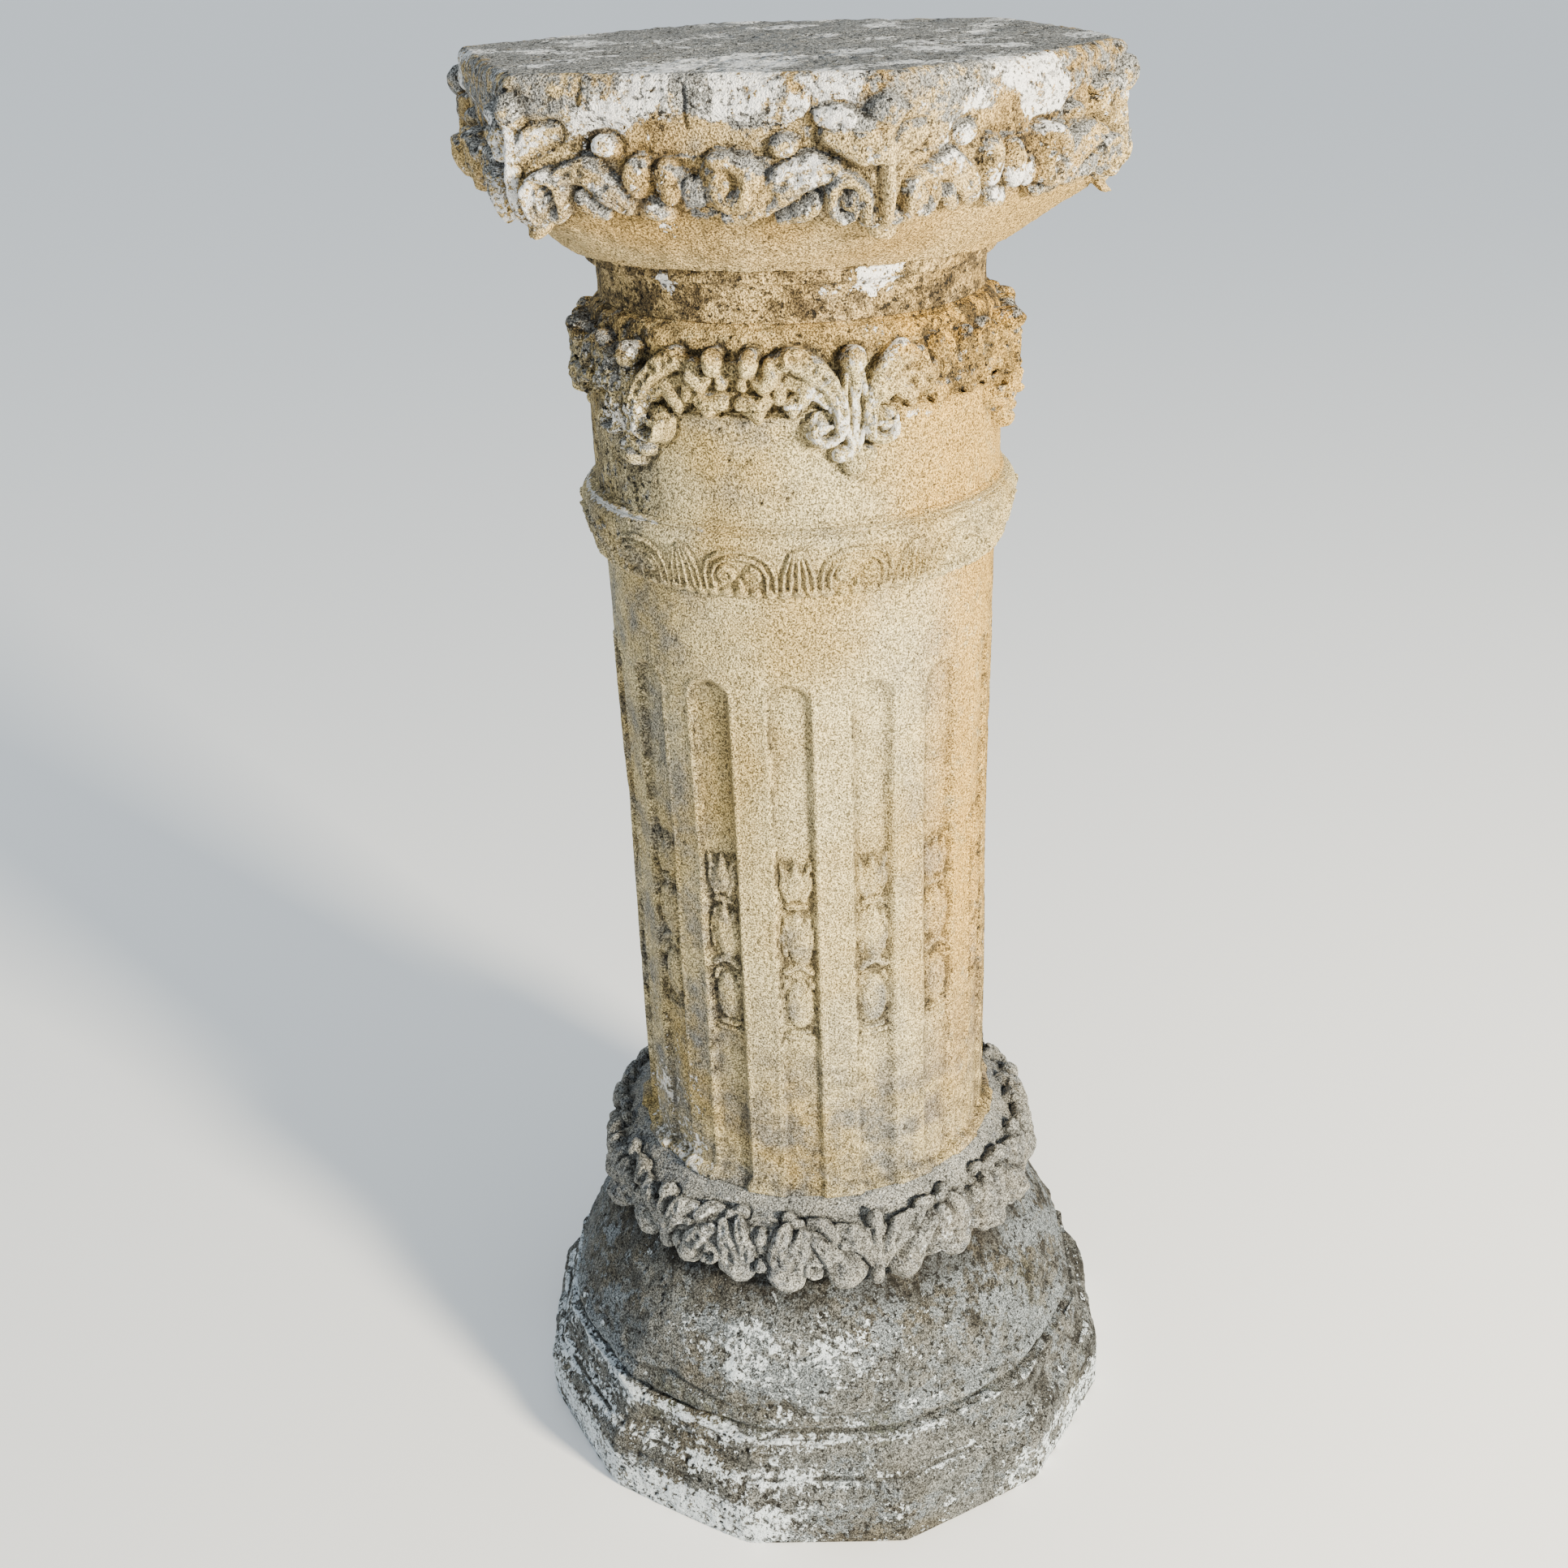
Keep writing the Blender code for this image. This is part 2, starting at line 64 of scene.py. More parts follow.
# Foot
FOOT_R = 0.223
FOOT_BAND_H = 0.036
FOOT_SHOULDER_H = 0.018
FOOT_SHOULDER_RUN = 0.008
FOOT_LEDGE_H = 0.003
FOOT_LEDGE_RUN = 0.005
FOOT_FACE_H = 0.024
FOOT_FACE_RUN = 0.006
BELL_LEDGE_H = 0.003
BELL_LEDGE_RUN = 0.01
BELL_TOE_H = 0.012
BELL_TOE_BULGE = 0.003
BELL_H = 0.087
BELL_RUN = 0.052
BELL_BULGE = 0.007
SEAT_R = FOOT_R - FOOT_SHOULDER_RUN - FOOT_LEDGE_RUN - FOOT_FACE_RUN - BELL_LEDGE_RUN - BELL_RUN
BELOW_BELL = FOOT_BAND_H + FOOT_SHOULDER_H + FOOT_LEDGE_H + FOOT_FACE_H + BELL_LEDGE_H
FOOT_TOP = BELOW_BELL + BELL_TOE_H + BELL_H

# Shaft
NECKING_H = 0.008
COLLAR_R = 0.156
COLLAR_FACE_H = 0.042
COLLAR_SHOULDER = 0.009
COLLAR_APRON_H = 0.011
SHAFT_R = 0.125
SHAFT_H = 0.443
SHAFT_SWELL = 0.0035
RING_BEAD = 0.0045
BAND_R = 0.142
BAND_H = 0.039
DRUM_R = 0.1315
DRUM_H = 0.084
NECK_R = 0.1215
NECK_H = 0.0305
BEAD = 0.0022
GARLAND_FOOT = 0.0294
GARLAND_H = 0.077

# Capital
CAPITAL_NECK_H = 0.016
FILLET_R = 0.128
FILLET_H = 0.016
BOWL_LIP = 0.0125
BOWL_H = 0.038
BOWL_BULGE = 0.001
CROWN_FOOT_R = 0.2
CROWN_FACE_R = 0.21
RIM_R = 0.2145
CROWN_LIP_H = 0.01
CROWN_FACE_H = 0.034
RIM_H = 0.026
RIM_ROUND = 0.009
CROWN_CARVING_DROP = 0.011
CORNER_WEAR = (0.004, 0.01, 0.008, 0.005, 0.0, 0.004)
WEAR_SPREAD = math.radians(13.0)
FOOT_SOFTNESS = 0.006
CAPITAL_SOFTNESS = 0.012

# Flutes and their stacked buds
FLUTE_HALF_W = 0.0132
FLUTE_DEPTH = 0.0034
FLUTE_EDGE = 0.0024
FLUTE_BEAD = 0.0011
FLUTE_TOP_GAP = 0.062
BUD_STACK_H = 0.138
BUD_STACK_FOOT = 0.118

# Leaves of the collar: how far they stand above its foot, and how much shorter than drawn they are
COLLAR_LEAF_RISE = 0.004
COLLAR_LEAF_SQUEEZE = 1.16

# Height of one row of the mesh
FOOT_ROW = 0.0022
COLLAR_ROW = 0.00105
BEAD_ROW = 0.0011
PLAIN_SHAFT_ROW = 0.0034
CARVED_SHAFT_ROW = 0.0014
UPPER_SHAFT_ROW = 0.003
RING_ROW = 0.00095
DRUM_ROW = 0.0016
GARLAND_ROW = 0.00105
CAPITAL_NECK_ROW = 0.0014
BOWL_ROW = 0.0026
CROWN_ROW = 0.00115
TOP_ROW = 0.006
TOP_HOLE_R = 0.012  # radius of the last ring of the top, closed by one face

# The side of the column that faces the camera, where the mesh is finest
FRONT = math.radians(16.4)
FRONT_HALF = math.radians(105.0)
FRONT_FADE = math.radians(25.0)

MM = 0.001
FAR_OFF = 99.0  # distance in millimetres where no stroke is near
BOX_MARGIN = 0.0004  # kept between the mesh and the sides of the solids' box
INSIDE_SHARE = 0.9  # radius of the rings that close each piece inside
NARROW_HOLLOW = 0.0011  # depths at which the painted shade and dirt in hollows are full, and height at which the painted highlight on raised faces is full
WIDE_HOLLOW = 0.0034
WIDE_RISE = 0.004
CRACK_HALF_W = 0.28  # degrees
CRACK_FADE = 0.004
CRACK_DEPTH = 0.0032
FOOT_CRACK = 20.0
FOOT_CRACK_DEPTH = 0.0022

# Angle of each crack in the rim, and its lower and upper end from the rim's edge along the outline
RIM_CRACKS = ((-31.0, -0.022, 0.006), (-48.5, -0.01, 0.008), (-10.5, -0.016, 0.0), (38.0, -0.02, 0.004))

# Spots: angle, height, half width in degrees, half height, and share
BROKEN_LEAF = ((9.0, 0.967, 6.0, 0.018, 0.75),)
RIM_PAINT = ((-35.0, 0.985, 24.0, 0.03, 0.12), (24.0, 0.985, 18.0, 0.03, 0.12))
CROWN_PAINT = (
    (13.0, 0.956, 3.0, 0.008, 0.62), (25.0, 0.934, 5.0, 0.006, 0.5), (33.0, 0.962, 4.0, 0.006, 0.48),
    (-45.0, 0.968, 7.0, 0.012, 0.34), (-38.0, 0.918, 4.0, 0.008, 0.45), (38.0, 0.975, 4.0, 0.012, 0.4),
    (0.0, 0.974, 3.6, 0.014, -0.55), (-12.0, 0.948, 4.0, 0.01, 0.25), (-60.0, 0.95, 6.0, 0.03, 0.3))
NECK_PAINT = (
    (8.0, 0.879, 7.5, 0.013, 0.95), (14.0, 0.894, 6.0, 0.007, 0.85), (-5.0, 0.872, 4.0, 0.006, 0.55),
    (-50.0, 0.876, 4.0, 0.009, 0.7), (30.0, 0.89, 6.0, 0.006, 0.6))
GARLAND_PAINT = ((-60.0, 0.8, 14.0, 0.03, 0.22), (-5.0, 0.8, 12.0, 0.03, 0.3))
DRUM_PAINT = ((18.0, 0.797, 10.0, 0.006, 0.62), (8.0, 0.848, 14.0, 0.012, 0.5))
COLLAR_PAINT = ((20.0, 0.215, 14.0, 0.03, 0.24), (-46.0, 0.22, 16.0, 0.03, 0.22))
BELL_PAINT = ((-14.0, 0.135, 26.0, 0.036, 0.2), (-38.0, 0.14, 20.0, 0.03, 0.17))

# Colours of the concrete, in linear light. The darkest one is for dirt and for painted shade in hollows and
# under parts.
# growth is lichen or moss, with the levels at which it starts and is full. flake is the share of small flakes
# in the edge of the paint.
CRUST = (0.225, 0.225, 0.215)
BLACK_PIT = (0.01, 0.009, 0.007)
CAPITAL_LOOK = dict(
    cream=(0.53, 0.4, 0.19), ochre=(0.37, 0.24, 0.078), grey=(0.225, 0.215, 0.19),
    dirt_and_shade=(0.022, 0.016, 0.01), white=(0.92, 0.92, 0.91), crust=CRUST,
    growth=(0.4, 0.265, 0.085), growth_edge=(0.25, 0.5), flake=0.58)
SHAFT_LOOK = dict(
    cream=(0.53, 0.44, 0.235), ochre=(0.4, 0.29, 0.11), grey=(0.185, 0.182, 0.165),
    dirt_and_shade=(0.028, 0.022, 0.014), white=(0.86, 0.85, 0.81), crust=CRUST,
    growth=(0.46, 0.275, 0.06), growth_edge=(0.25, 0.5), flake=0.5)
FOOT_LOOK = dict(
    cream=(0.185, 0.188, 0.178), ochre=(0.105, 0.094, 0.07), grey=(0.112, 0.12, 0.12),
    dirt_and_shade=(0.012, 0.01, 0.007), white=(0.74, 0.82, 0.88), crust=(0.155, 0.174, 0.187),
    growth=(0.06, 0.075, 0.018), growth_edge=(0.44, 0.58), flake=0.56)
COLLAR_LOOK = dict(
    cream=(0.32, 0.32, 0.295), ochre=(0.23, 0.215, 0.18), grey=(0.165, 0.172, 0.17),
    dirt_and_shade=(0.014, 0.013, 0.011), white=(0.74, 0.77, 0.78), crust=(0.155, 0.163, 0.168),
    growth=(0.06, 0.075, 0.018), growth_edge=(0.44, 0.58), flake=0.6)

# Light and floor
KEY_PLACE, KEY_AIM = (2.8, -1.6, 1.38), (0.0, 0.0, 0.6)
KEY_SIZE, KEY_WATTS, KEY_COLOUR = 0.5, 460.0, (1.0, 0.9, 0.7)
SKY_COLOUR, SKY_STRENGTH = (0.84, 0.93, 1.0, 1.0), 0.95
FLOOR_REACH, FLOOR_COLOUR, FLOOR_ROUGHNESS = 60.0, (0.93, 0.93, 0.93, 1.0), 0.9

# The photograph's camera, fitted to the rings and edges
CAMERA_PLACE = (0.32347, -1.15725, 1.08536)
CAMERA_RIGHT = (0.96313, 0.26699, -0.03308)
CAMERA_UP = (-0.08752, 0.42721, 0.8999)
CAMERA_FORWARD = (-0.2544, 0.86383, -0.43483)
LENS_MM, SENSOR_MM = 43.25, 36.0
CLIP_END = 200.0


class Outline:
    """Half section, drawn upwards, with a plan weight: 0 is round, 1 is many-sided."""

    def __init__(self, r, z, plan=0.0, row=FOOT_ROW):
        self.points = [(r, z, plan)]
        self.marks = {}
        self.cuts = []
        self.length = 0.0
        self.row = row

    def fine(self, row):
        """Rows are this far apart from here on."""
        self.row = row
        return self

    def mark(self, name):
        """Note how far along the outline this point is."""
        self.marks[name] = self.length
        return self

    def cut(self):
        """One piece ends here and the next begins."""
        self.cuts.append(len(self.points) - 1)
        return self

    def to(self, r, z, plan=None):
        last = self.points[-1]
        plan = last[2] if plan is None else plan
        run = math.hypot(r - last[0], z - last[1])
        steps = max(1, math.ceil(run / self.row - 0.3))
        for i in range(1, steps + 1):
            t = i / steps
            self.points.append(tuple(p + (q - p) * t for p, q in zip(last, (r, z, plan))))
        self.length += run
        return self

    def up(self, dz):
        return self.to(self.points[-1][0], self.points[-1][1] + dz)

    def curve(self, dr, dz, first, parts=6):
        """Quarter ellipse. first is "out" or "up": the way that it sets off."""
        r, z, _ = self.points[-1]
        for i in range(1, parts + 1):
            t = 0.5 * math.pi * i / parts
            quick, slow = math.sin(t), 1.0 - math.cos(t)
            fr, fz = (quick, slow) if first == "out" else (slow, quick)
            self.to(r + dr * fr, z + dz * fz)
        return self

    def roll(self, dr, dz, bulge, plan=None, parts=8):
        """Bowed line to the point dr, dz away, with its belly out by bulge."""
        r, z, p = self.points[-1]
        goal = p if plan is None else plan
        for i in range(1, parts + 1):
            t = i / parts
            self.to(r + dr * t + bulge * math.sin(math.pi * t), z + dz * t, p + (goal - p) * t)
        return self


def unit(t):
    return np.clip(t, 0.0, 1.0)


def smooth(t):
    t = unit(t)
    return t * t * (3.0 - 2.0 * t)


def bell(t):
    return np.exp(-t * t)


def folded(angles, first, count):
    """Angle from the nearest of count even places, without sign."""
    pitch = 2.0 * math.pi / count
    return np.abs((angles - first + pitch / 2) % pitch - pitch / 2)


def plan_share(angles, sides, softness):
    """Radius of a many-sided plan as a share of its corner radius: a soft minimum of it and a circle."""
    half = math.pi / sides
    sharp = math.cos(half) / np.cos(half - folded(angles, CORNER_ANGLE, sides))
    lift = 0.35 * softness
    return lift - softness * np.log(np.exp(-sharp / softness) + np.exp(-1.0 / softness))


def corner_wear(angles):
    lost = np.zeros_like(angles)
    for i, depth in enumerate(CORNER_WEAR):
        away = folded(angles, CORNER_ANGLE + i * 2.0 * math.pi / CORNERS, 1)
        lost += depth * bell(away / WEAR_SPREAD)
    return lost


def lattice(x, y, z, seed):
    """Number from -1 to 1 that belongs to a whole-number place."""
    n = (x * 73856093) ^ (y * 19349663) ^ (z * 83492791) ^ (seed * 668265263)
    n = (n ^ (n >> 13)) * 1274126177
    n = n ^ (n >> 16)
    return (n & 0xffff) / 32767.5 - 1.0


def noise(p, size, seed, octaves=1):
    """Smooth noise from about -1 to 1 with lumps of the given size."""
    total, weight, norm = 0.0, 1.0, 0.0
    for k in range(octaves):
        q = p / (size * 0.5 ** k)
        whole = np.floor(q)
        f = q - whole
        f = f * f * (3.0 - 2.0 * f)
        x, y, z = (whole[..., i].astype(np.int64) for i in range(3))
        part = 0.0
        for dx in (0, 1):
            for dy in (0, 1):
                for dz in (0, 1):
                    w = (f[..., 0] if dx else 1.0 - f[..., 0]) * (f[..., 1] if dy else 1.0 - f[..., 1])
                    w = w * (f[..., 2] if dz else 1.0 - f[..., 2])
                    part = part + w * lattice(x + dx, y + dy, z + dz, seed + 31 * k)
        total = total + weight * part
        norm += weight
        weight *= 0.55
    return total / norm


def pits(p, size, share, seed):
    """Depth from 0 to 1 of round pits, one to a cell of that size, in a share of the cells."""
    q = p / size
    low = np.floor(q - 0.5).astype(np.int64)
    depth = np.zeros(q.shape[:-1])
    for dx in (0, 1):
        for dy in (0, 1):
            for dz in (0, 1):
                x, y, z = low[..., 0] + dx, low[..., 1] + dy, low[..., 2] + dz
                away = 0.0
                for i, c in enumerate((x, y, z)):
                    away = away + (q[..., i] - c - 0.5 - 0.28 * lattice(x, y, z, seed + 1 + i)) ** 2
                radius = 0.3 + 0.17 * lattice(x, y, z, seed + 5)
                has = lattice(x, y, z, seed) < 2.0 * share - 1.0
                depth = np.maximum(depth, has * unit(1.0 - away / radius ** 2))
    return depth


class Carving:
    """Relief built of strokes, with the distance beyond the nearest stroke's edge. Sizes in millimetres."""

    def __init__(self, x, y):
        self.x, self.y = np.broadcast_arrays(x / MM, y / MM)
        self.height = np.zeros(self.x.shape)
        self.edge = np.full(self.x.shape, FAR_OFF)
        self.only = None

    def stroke(self, points, widths, rise, vein=0.0, full=0.45, spoon=0.24):
        """Rounded ridge along points. vein is the depth and spoon the width of a groove down its middle."""
        if len(points) == 1:
            points = points * 2
        count = len(points)
        widths, rises = (v if isinstance(v, list) else [v] * count for v in (widths, rise))
        reach = max(widths) + 3.0
        xs, ys = [p[0] for p in points], [p[1] for p in points]
        near = (self.x > min(xs) - reach) & (self.x < max(xs) + reach)
        near &= (self.y > min(ys) - reach) & (self.y < max(ys) + reach)
        if self.only is not None:
            near &= self.only
        if not near.any():
            return self
        x, y = self.x[near], self.y[near]
        best, edge = np.zeros(x.shape), np.full(x.shape, FAR_OFF)
        for i in range(count - 1):
            (ax, ay), (bx, by) = points[i], points[i + 1]
            dx, dy = bx - ax, by - ay
            span = dx * dx + dy * dy
            t = unit(((x - ax) * dx + (y - ay) * dy) / span) if span > 0 else np.zeros(x.shape)
            width = widths[i] + (widths[i + 1] - widths[i]) * t
            away = np.hypot(x - ax - dx * t, y - ay - dy * t)
            share = away / width
            height = rises[i] + (rises[i + 1] - rises[i]) * t
            height = height * unit(1.0 - share * share) ** full
            if vein:
                height = height * (1.0 - vein * bell(share / spoon))
            best = np.maximum(best, height)
            edge = np.minimum(edge, away - width)
        self.height[near] = np.maximum(self.height[near], best)
        self.edge[near] = np.minimum(self.edge[near], edge)
        return self

    def bed(self, points, width, rise):
        """Low raised ground that the strokes stand on."""
        self.stroke(points, width, rise, full=0.35)
        self.edge[...] = FAR_OFF
        return self

    def hollows(self, width):
        """From 0 to 1: how close the ground is to the foot of a stroke."""
        return bell(np.clip(self.edge, 0.0, None) / width) * (self.edge > -0.6)

    def coil(self, centre, radius, start, rise, turns=1.15, side=1.0, wide=0.3, parts=20):
        """Coil that winds in from start, an angle in degrees, round a small eye, over a sunk bed."""
        points = []
        for i in range(parts + 1):
            t = i / parts
            angle = math.radians(start) + side * turns * 2.0 * math.pi * t
            reach = radius * (0.8 - 0.5 * t)
            points.append((centre[0] + reach * math.cos(angle), centre[1] + reach * math.sin(angle)))
        widths = [radius * (wide - 0.1 * i / parts) for i in range(parts + 1)]
        rises = [rise * (1.0 - 0.2 * i / parts) for i in range(parts + 1)]
        self.stroke([centre], radius, 0.36 * rise, full=0.3)
        self.stroke(points, widths, rises)
        self.stroke([centre], 0.2 * radius, 0.8 * rise)
        return self

    def lobe(self, centre, rx, ry, rise, rings=0, lean=0.0):
        """Oval boss, with rings cut into it."""
        lean = math.radians(lean)
        dx, dy = self.x - centre[0], self.y - centre[1]
        u = (dx * math.cos(lean) + dy * math.sin(lean)) / rx
        v = (dy * math.cos(lean) - dx * math.sin(lean)) / ry
        share = np.hypot(u, v)
        height = rise * unit(1.0 - share * share) ** 0.5
        if rings:
            height = height * (0.82 + 0.18 * np.cos(2.0 * math.pi * rings * share))
        self.height = np.maximum(self.height, height)
        self.edge = np.minimum(self.edge, (share - 1.0) * min(rx, ry))
        return self

    def moat(self, depth, width):
        """Ground sunk round the strokes."""
        return -depth * bell((self.edge - 0.35 * width) / width) * (self.edge > -0.5 * width)


def garland(x, y):
    """Ball, stem and drop at each corner, scrolled arms and a pair of bud clumps between the corners."""
    c = Carving(x, y)
    c.bed([(34, 58), (72, 58)], 13.5, 4.5)
    c.stroke([(0, 60), (0, 38), (0, 17)], [5.0, 3.8, 3.2], [12.0, 11.5, 10.0])
    c.stroke([(4.9, 62), (6.2, 48), (5.6, 30), (2.0, 15)], [2.2, 2.8, 3.0, 2.4], [9.0, 11.5, 12.5, 10.5])
    c.coil((17.0, 27.0), 12.6, 150.0, 16.5, turns=1.0, wide=0.3)
    c.stroke([(43, 68), (33, 71), (23, 65), (14.0, 56), (9.0, 45), (7.6, 33), (8.8, 22)],
        [5.0, 7.6, 7.4, 6.4, 5.0, 4.2, 3.6], [8.0, 12.0, 14.5, 16.5, 17.5, 17.5, 16.0],
        vein=0.38, spoon=0.28)
    c.stroke([(36, 59), (28, 56), (19, 50), (13.5, 42)],
        [4.4, 5.6, 4.8, 3.0], [7.0, 10.5, 11.5, 11.0], vein=0.2)
    c.stroke([(35, 45), (30, 50), (27, 55)], [6.0, 6.0, 4.0], [11.5, 11.0, 9.0])
    c.stroke([(0, 69)], 8.2, 17.5)
    c.stroke([(0, 5.0)], 7.4, 12.5).stroke([(1, 14), (9.0, 10.5)], [4.8, 5.2], [9.5, 11.0])
    c.lobe((58.0, 70.0), 6.6, 9.0, 16.0, lean=12.0).lobe((58.0, 70.0), 2.6, 4.4, 14.0, lean=12.0)
    c.stroke([(54, 60), (50, 57), (46, 62), (46, 69)], [4.6, 5.6, 5.2, 4.2], [9.0, 12.0, 12.5, 9.5])
    c.stroke([(63, 47), (55, 45), (49, 49)], [6.2, 7.2, 5.0], [11.5, 13.5, 11.0], vein=0.15)
    c.stroke([(42, 50), (42, 56)], [4.8, 4.6], [10.0, 9.0])
    c.stroke([(63, 58), (62, 62)], [4.4, 3.4], [9.5, 8.0])
    return c


def crown_leaves(x, y, left):
    """Rib and pendant on each corner, upper leaf, volute, trailing leaf and the bosses at mid side."""
    c = Carving(x, y)
    c.bed([(-4, 29), (110, 29)], 17.0, 2.6)
    c.stroke([(0, 16), (0, 40), (0, 62)], [5.4, 5.0, 5.4], [10.5, 8.0, 6.5])
    c.stroke([(0, 67)], 10.5, 9.5).stroke([(0, 58), (6.5, 69)], [4.4, 5.4], [6.5, 7.5])
    c.stroke([(3, 5), (1, 12)], [9.0, 6.4], [13.5, 11.5])
    c.stroke([(7, 12), (14, 15)], [6.0, 5.0], [12.5, 11.5])
    c.coil((24.5, 24.0), 14.5, 200.0, 15.5, turns=-1.15, wide=0.31)
    c.only = left
    c.stroke([(31, 37), (44, 38), (58, 32), (72, 20)],
        [6.0, 9.4, 9.6, 5.8], [12.5, 13.0, 11.5, 8.5], vein=0.42, spoon=0.28)
    c.stroke([(42, 23), (52, 17), (60, 14)], [5.4, 6.2, 4.6], [11.0, 10.5, 9.0])
    c.stroke([(38, 65), (27, 63), (15, 57), (8, 46)],
        [4.6, 8.6, 10.6, 7.0], [7.5, 12.0, 13.5, 11.0], vein=0.45, spoon=0.34)
    c.stroke([(33, 54), (23, 51), (14, 45)], [5.8, 7.6, 6.4], [10.0, 12.0, 11.5], vein=0.12)
    c.coil((88, 31), 17.0, 70.0, 15.5, turns=0.9, wide=0.32)
    c.stroke([(73, 22), (80, 14), (90, 12)], [5.0, 6.0, 5.0], [9.5, 10.5, 9.0])
    c.only = ~left
    c.stroke([(5, 44), (14, 52), (26, 55)], [5.0, 7.5, 5.0], [5.0, 6.5, 4.5], vein=0.2)
    c.stroke([(34, 35), (46, 36), (57, 29), (64, 18)],
        [6.0, 8.4, 8.4, 6.0], [11.0, 12.0, 10.5, 8.5], vein=0.42, spoon=0.28)
    c.stroke([(44, 22), (51, 16)], [6.4, 5.8], [11.0, 9.5])
    c.lobe((57, 50), 8.0, 6.6, 7.5).lobe((75, 35), 9.0, 13.0, 11.5, lean=-14.0)
    c.lobe((75, 38), 3.4, 6.0, 10.5, lean=-14.0)
    c.lobe((92, 32), 8.4, 14.0, 11.5, lean=8.0).stroke([(80, 16), (88, 13)], [6.0, 5.0], [10.0, 9.0])
    c.lobe((104, 26), 5.0, 9.0, 8.5)
    c.only = None
    return c


def collar_leaves(x, y):
    """Palmette under each corner, then broad hanging leaves that curl into big round tips."""
    c = Carving(x, y)
    c.bed([(-4, 25), (92, 25)], 21.0, 5.0)
    c.stroke([(0, 49)], 6.6, 12.0).stroke([(0, 42), (0, 20), (0, -3)], [3.0, 4.2, 6.0], [8.5, 9.5, 10.5])
    c.stroke([(3.5, 14), (8.0, 30), (16, 42), (27, 47)],
        [4.4, 6.2, 6.6, 4.0], [10.0, 11.5, 11.0, 7.5], vein=0.42, spoon=0.3)
    c.stroke([(7, 24), (14, 33), (24, 35)], [4.6, 5.6, 4.0], [9.5, 10.5, 8.0], vein=0.2)
    c.lobe((21.5, 8), 15.0, 11.5, 15.5).lobe((20.5, 13), 5.6, 5.6, 15.0, rings=1)
    c.stroke([(27, 16), (34, 27), (43, 36)], [10.0, 8.4, 4.6], [13.0, 11.5, 7.5], vein=0.4, spoon=0.3)
    c.stroke([(31, 42), (38, 52), (47, 53)], [4.4, 6.6, 4.6], [7.5, 10.5, 7.5], vein=0.2)
    c.coil((43.5, 17), 9.6, 250.0, 12.5, turns=0.8, wide=0.36)
    c.lobe((63.5, 6.5), 15.0, 10.8, 15.0).lobe((61.5, 12), 5.0, 5.0, 14.5, rings=1)
    c.stroke([(60, 16), (56, 29), (52, 42)], [12.0, 9.6, 5.0], [13.0, 11.0, 7.5], vein=0.4, spoon=0.3)
    c.stroke([(70, 20), (70, 33), (64, 46)], [7.4, 7.0, 4.4], [11.0, 10.0, 8.0], vein=0.24)
    c.stroke([(55, 50), (64, 56)], [4.2, 5.6], [8.0, 8.5])
    c.lobe((82.0, 14), 6.4, 8.0, 12.0).lobe((82.0, 40), 5.6, 8.0, 10.0)
    return c


def band_scrolls(x, y):
    """Pairs of coils under arched lines, a fan of lines between them, and the scalloped lip."""
    c = Carving(x, y)
    c.coil((8.2, 18), 6.6, 90.0, 2.1, turns=1.6, side=-1.0, wide=0.2)
    c.stroke([(17, 7), (17.6, 17), (14.5, 25), (8, 29), (0, 30)], 1.25, 1.7)
    c.stroke([(22.5, 6), (23, 18), (19.5, 28), (11, 33.5), (0, 35)], 1.25, 1.6)
    c.stroke([(27, 8), (28.5, 20), (33, 34)], 1.2, 1.6).stroke([(31.6, 7), (32.6, 20), (35.4, 35)], 1.2, 1.6)
    c.stroke([(37.1, 7), (37.1, 35)], 1.4, 1.7)
    c.stroke([(0, 6), (0, 14)], 1.6, 1.6)
    for k in range(5):
        c.stroke([(9.27 * k, 3.6)], 5.0, 2.4)
    return c


def buds(x, y):
    """Tulip over a pointed bud over a vase on a small base, with rings cut into each."""
    c = Carving(x, y)
    c.stroke([(-8.5, 1.5), (8.5, 1.5)], 2.0, 2.4).stroke([(-6.5, 6.5), (6.5, 6.5)], 1.8, 2.6)
    c.lobe((0, 28), 9.6, 19, 3.6, rings=4)
    c.stroke([(-9, 53), (-3, 57), (3, 57), (9, 53)], 2.4, 2.8)
    c.lobe((0.6, 78), 8.6, 21, 4.2, rings=4, lean=7.0)
    c.stroke([(0, 92), (0.5, 101)], [3.4, 1.4], [3.4, 2.0])
    c.stroke([(-6, 103), (6, 103)], 2.0, 2.4)
    c.lobe((0, 119), 8.4, 12, 4.0, rings=3)
    for side in (-1, 1):
        c.stroke([(side * 8, 47), (side * 9.2, 41)], [1.6, 2.0], 2.2)
        c.stroke([(side * 8, 66), (side * 10, 80), (side * 7, 94)], 1.7, 2.5)
        c.stroke([(side * 5, 108), (side * 9.4, 118), (side * 8, 128), (side * 10, 136)],
            [2.2, 2.2, 2.0, 1.2], 2.8)
    c.stroke([(0, 129), (0, 136)], [2.6, 1.4], 2.4)
    return c


def flute_bed(x, length, y):
    """Arched channel with a raised bead round it."""
    above = np.clip(y - (length - FLUTE_HALF_W), 0.0, None)
    inside = FLUTE_HALF_W - np.hypot(x, above)
    channel = -FLUTE_DEPTH * smooth(inside / FLUTE_EDGE)
    from_edge = inside / FLUTE_EDGE
    bead = FLUTE_BEAD * (bell((from_edge + 0.9) / 0.42) - 0.6 * bell(from_edge / 0.4))
    return channel + bead * (y < length + FLUTE_HALF_W), inside


def blurred(h, reach):
    """Mean over a square of rows and columns. The columns run on round the column."""
    for axis in (0, 1):
        total = np.zeros_like(h)
        for k in range(-reach, reach + 1):
            total += np.roll(h, k, axis=1) if axis == 1 else h[np.clip(np.arange(len(h)) + k, 0, len(h) - 1)]
        h = total / (2 * reach + 1)
    return h


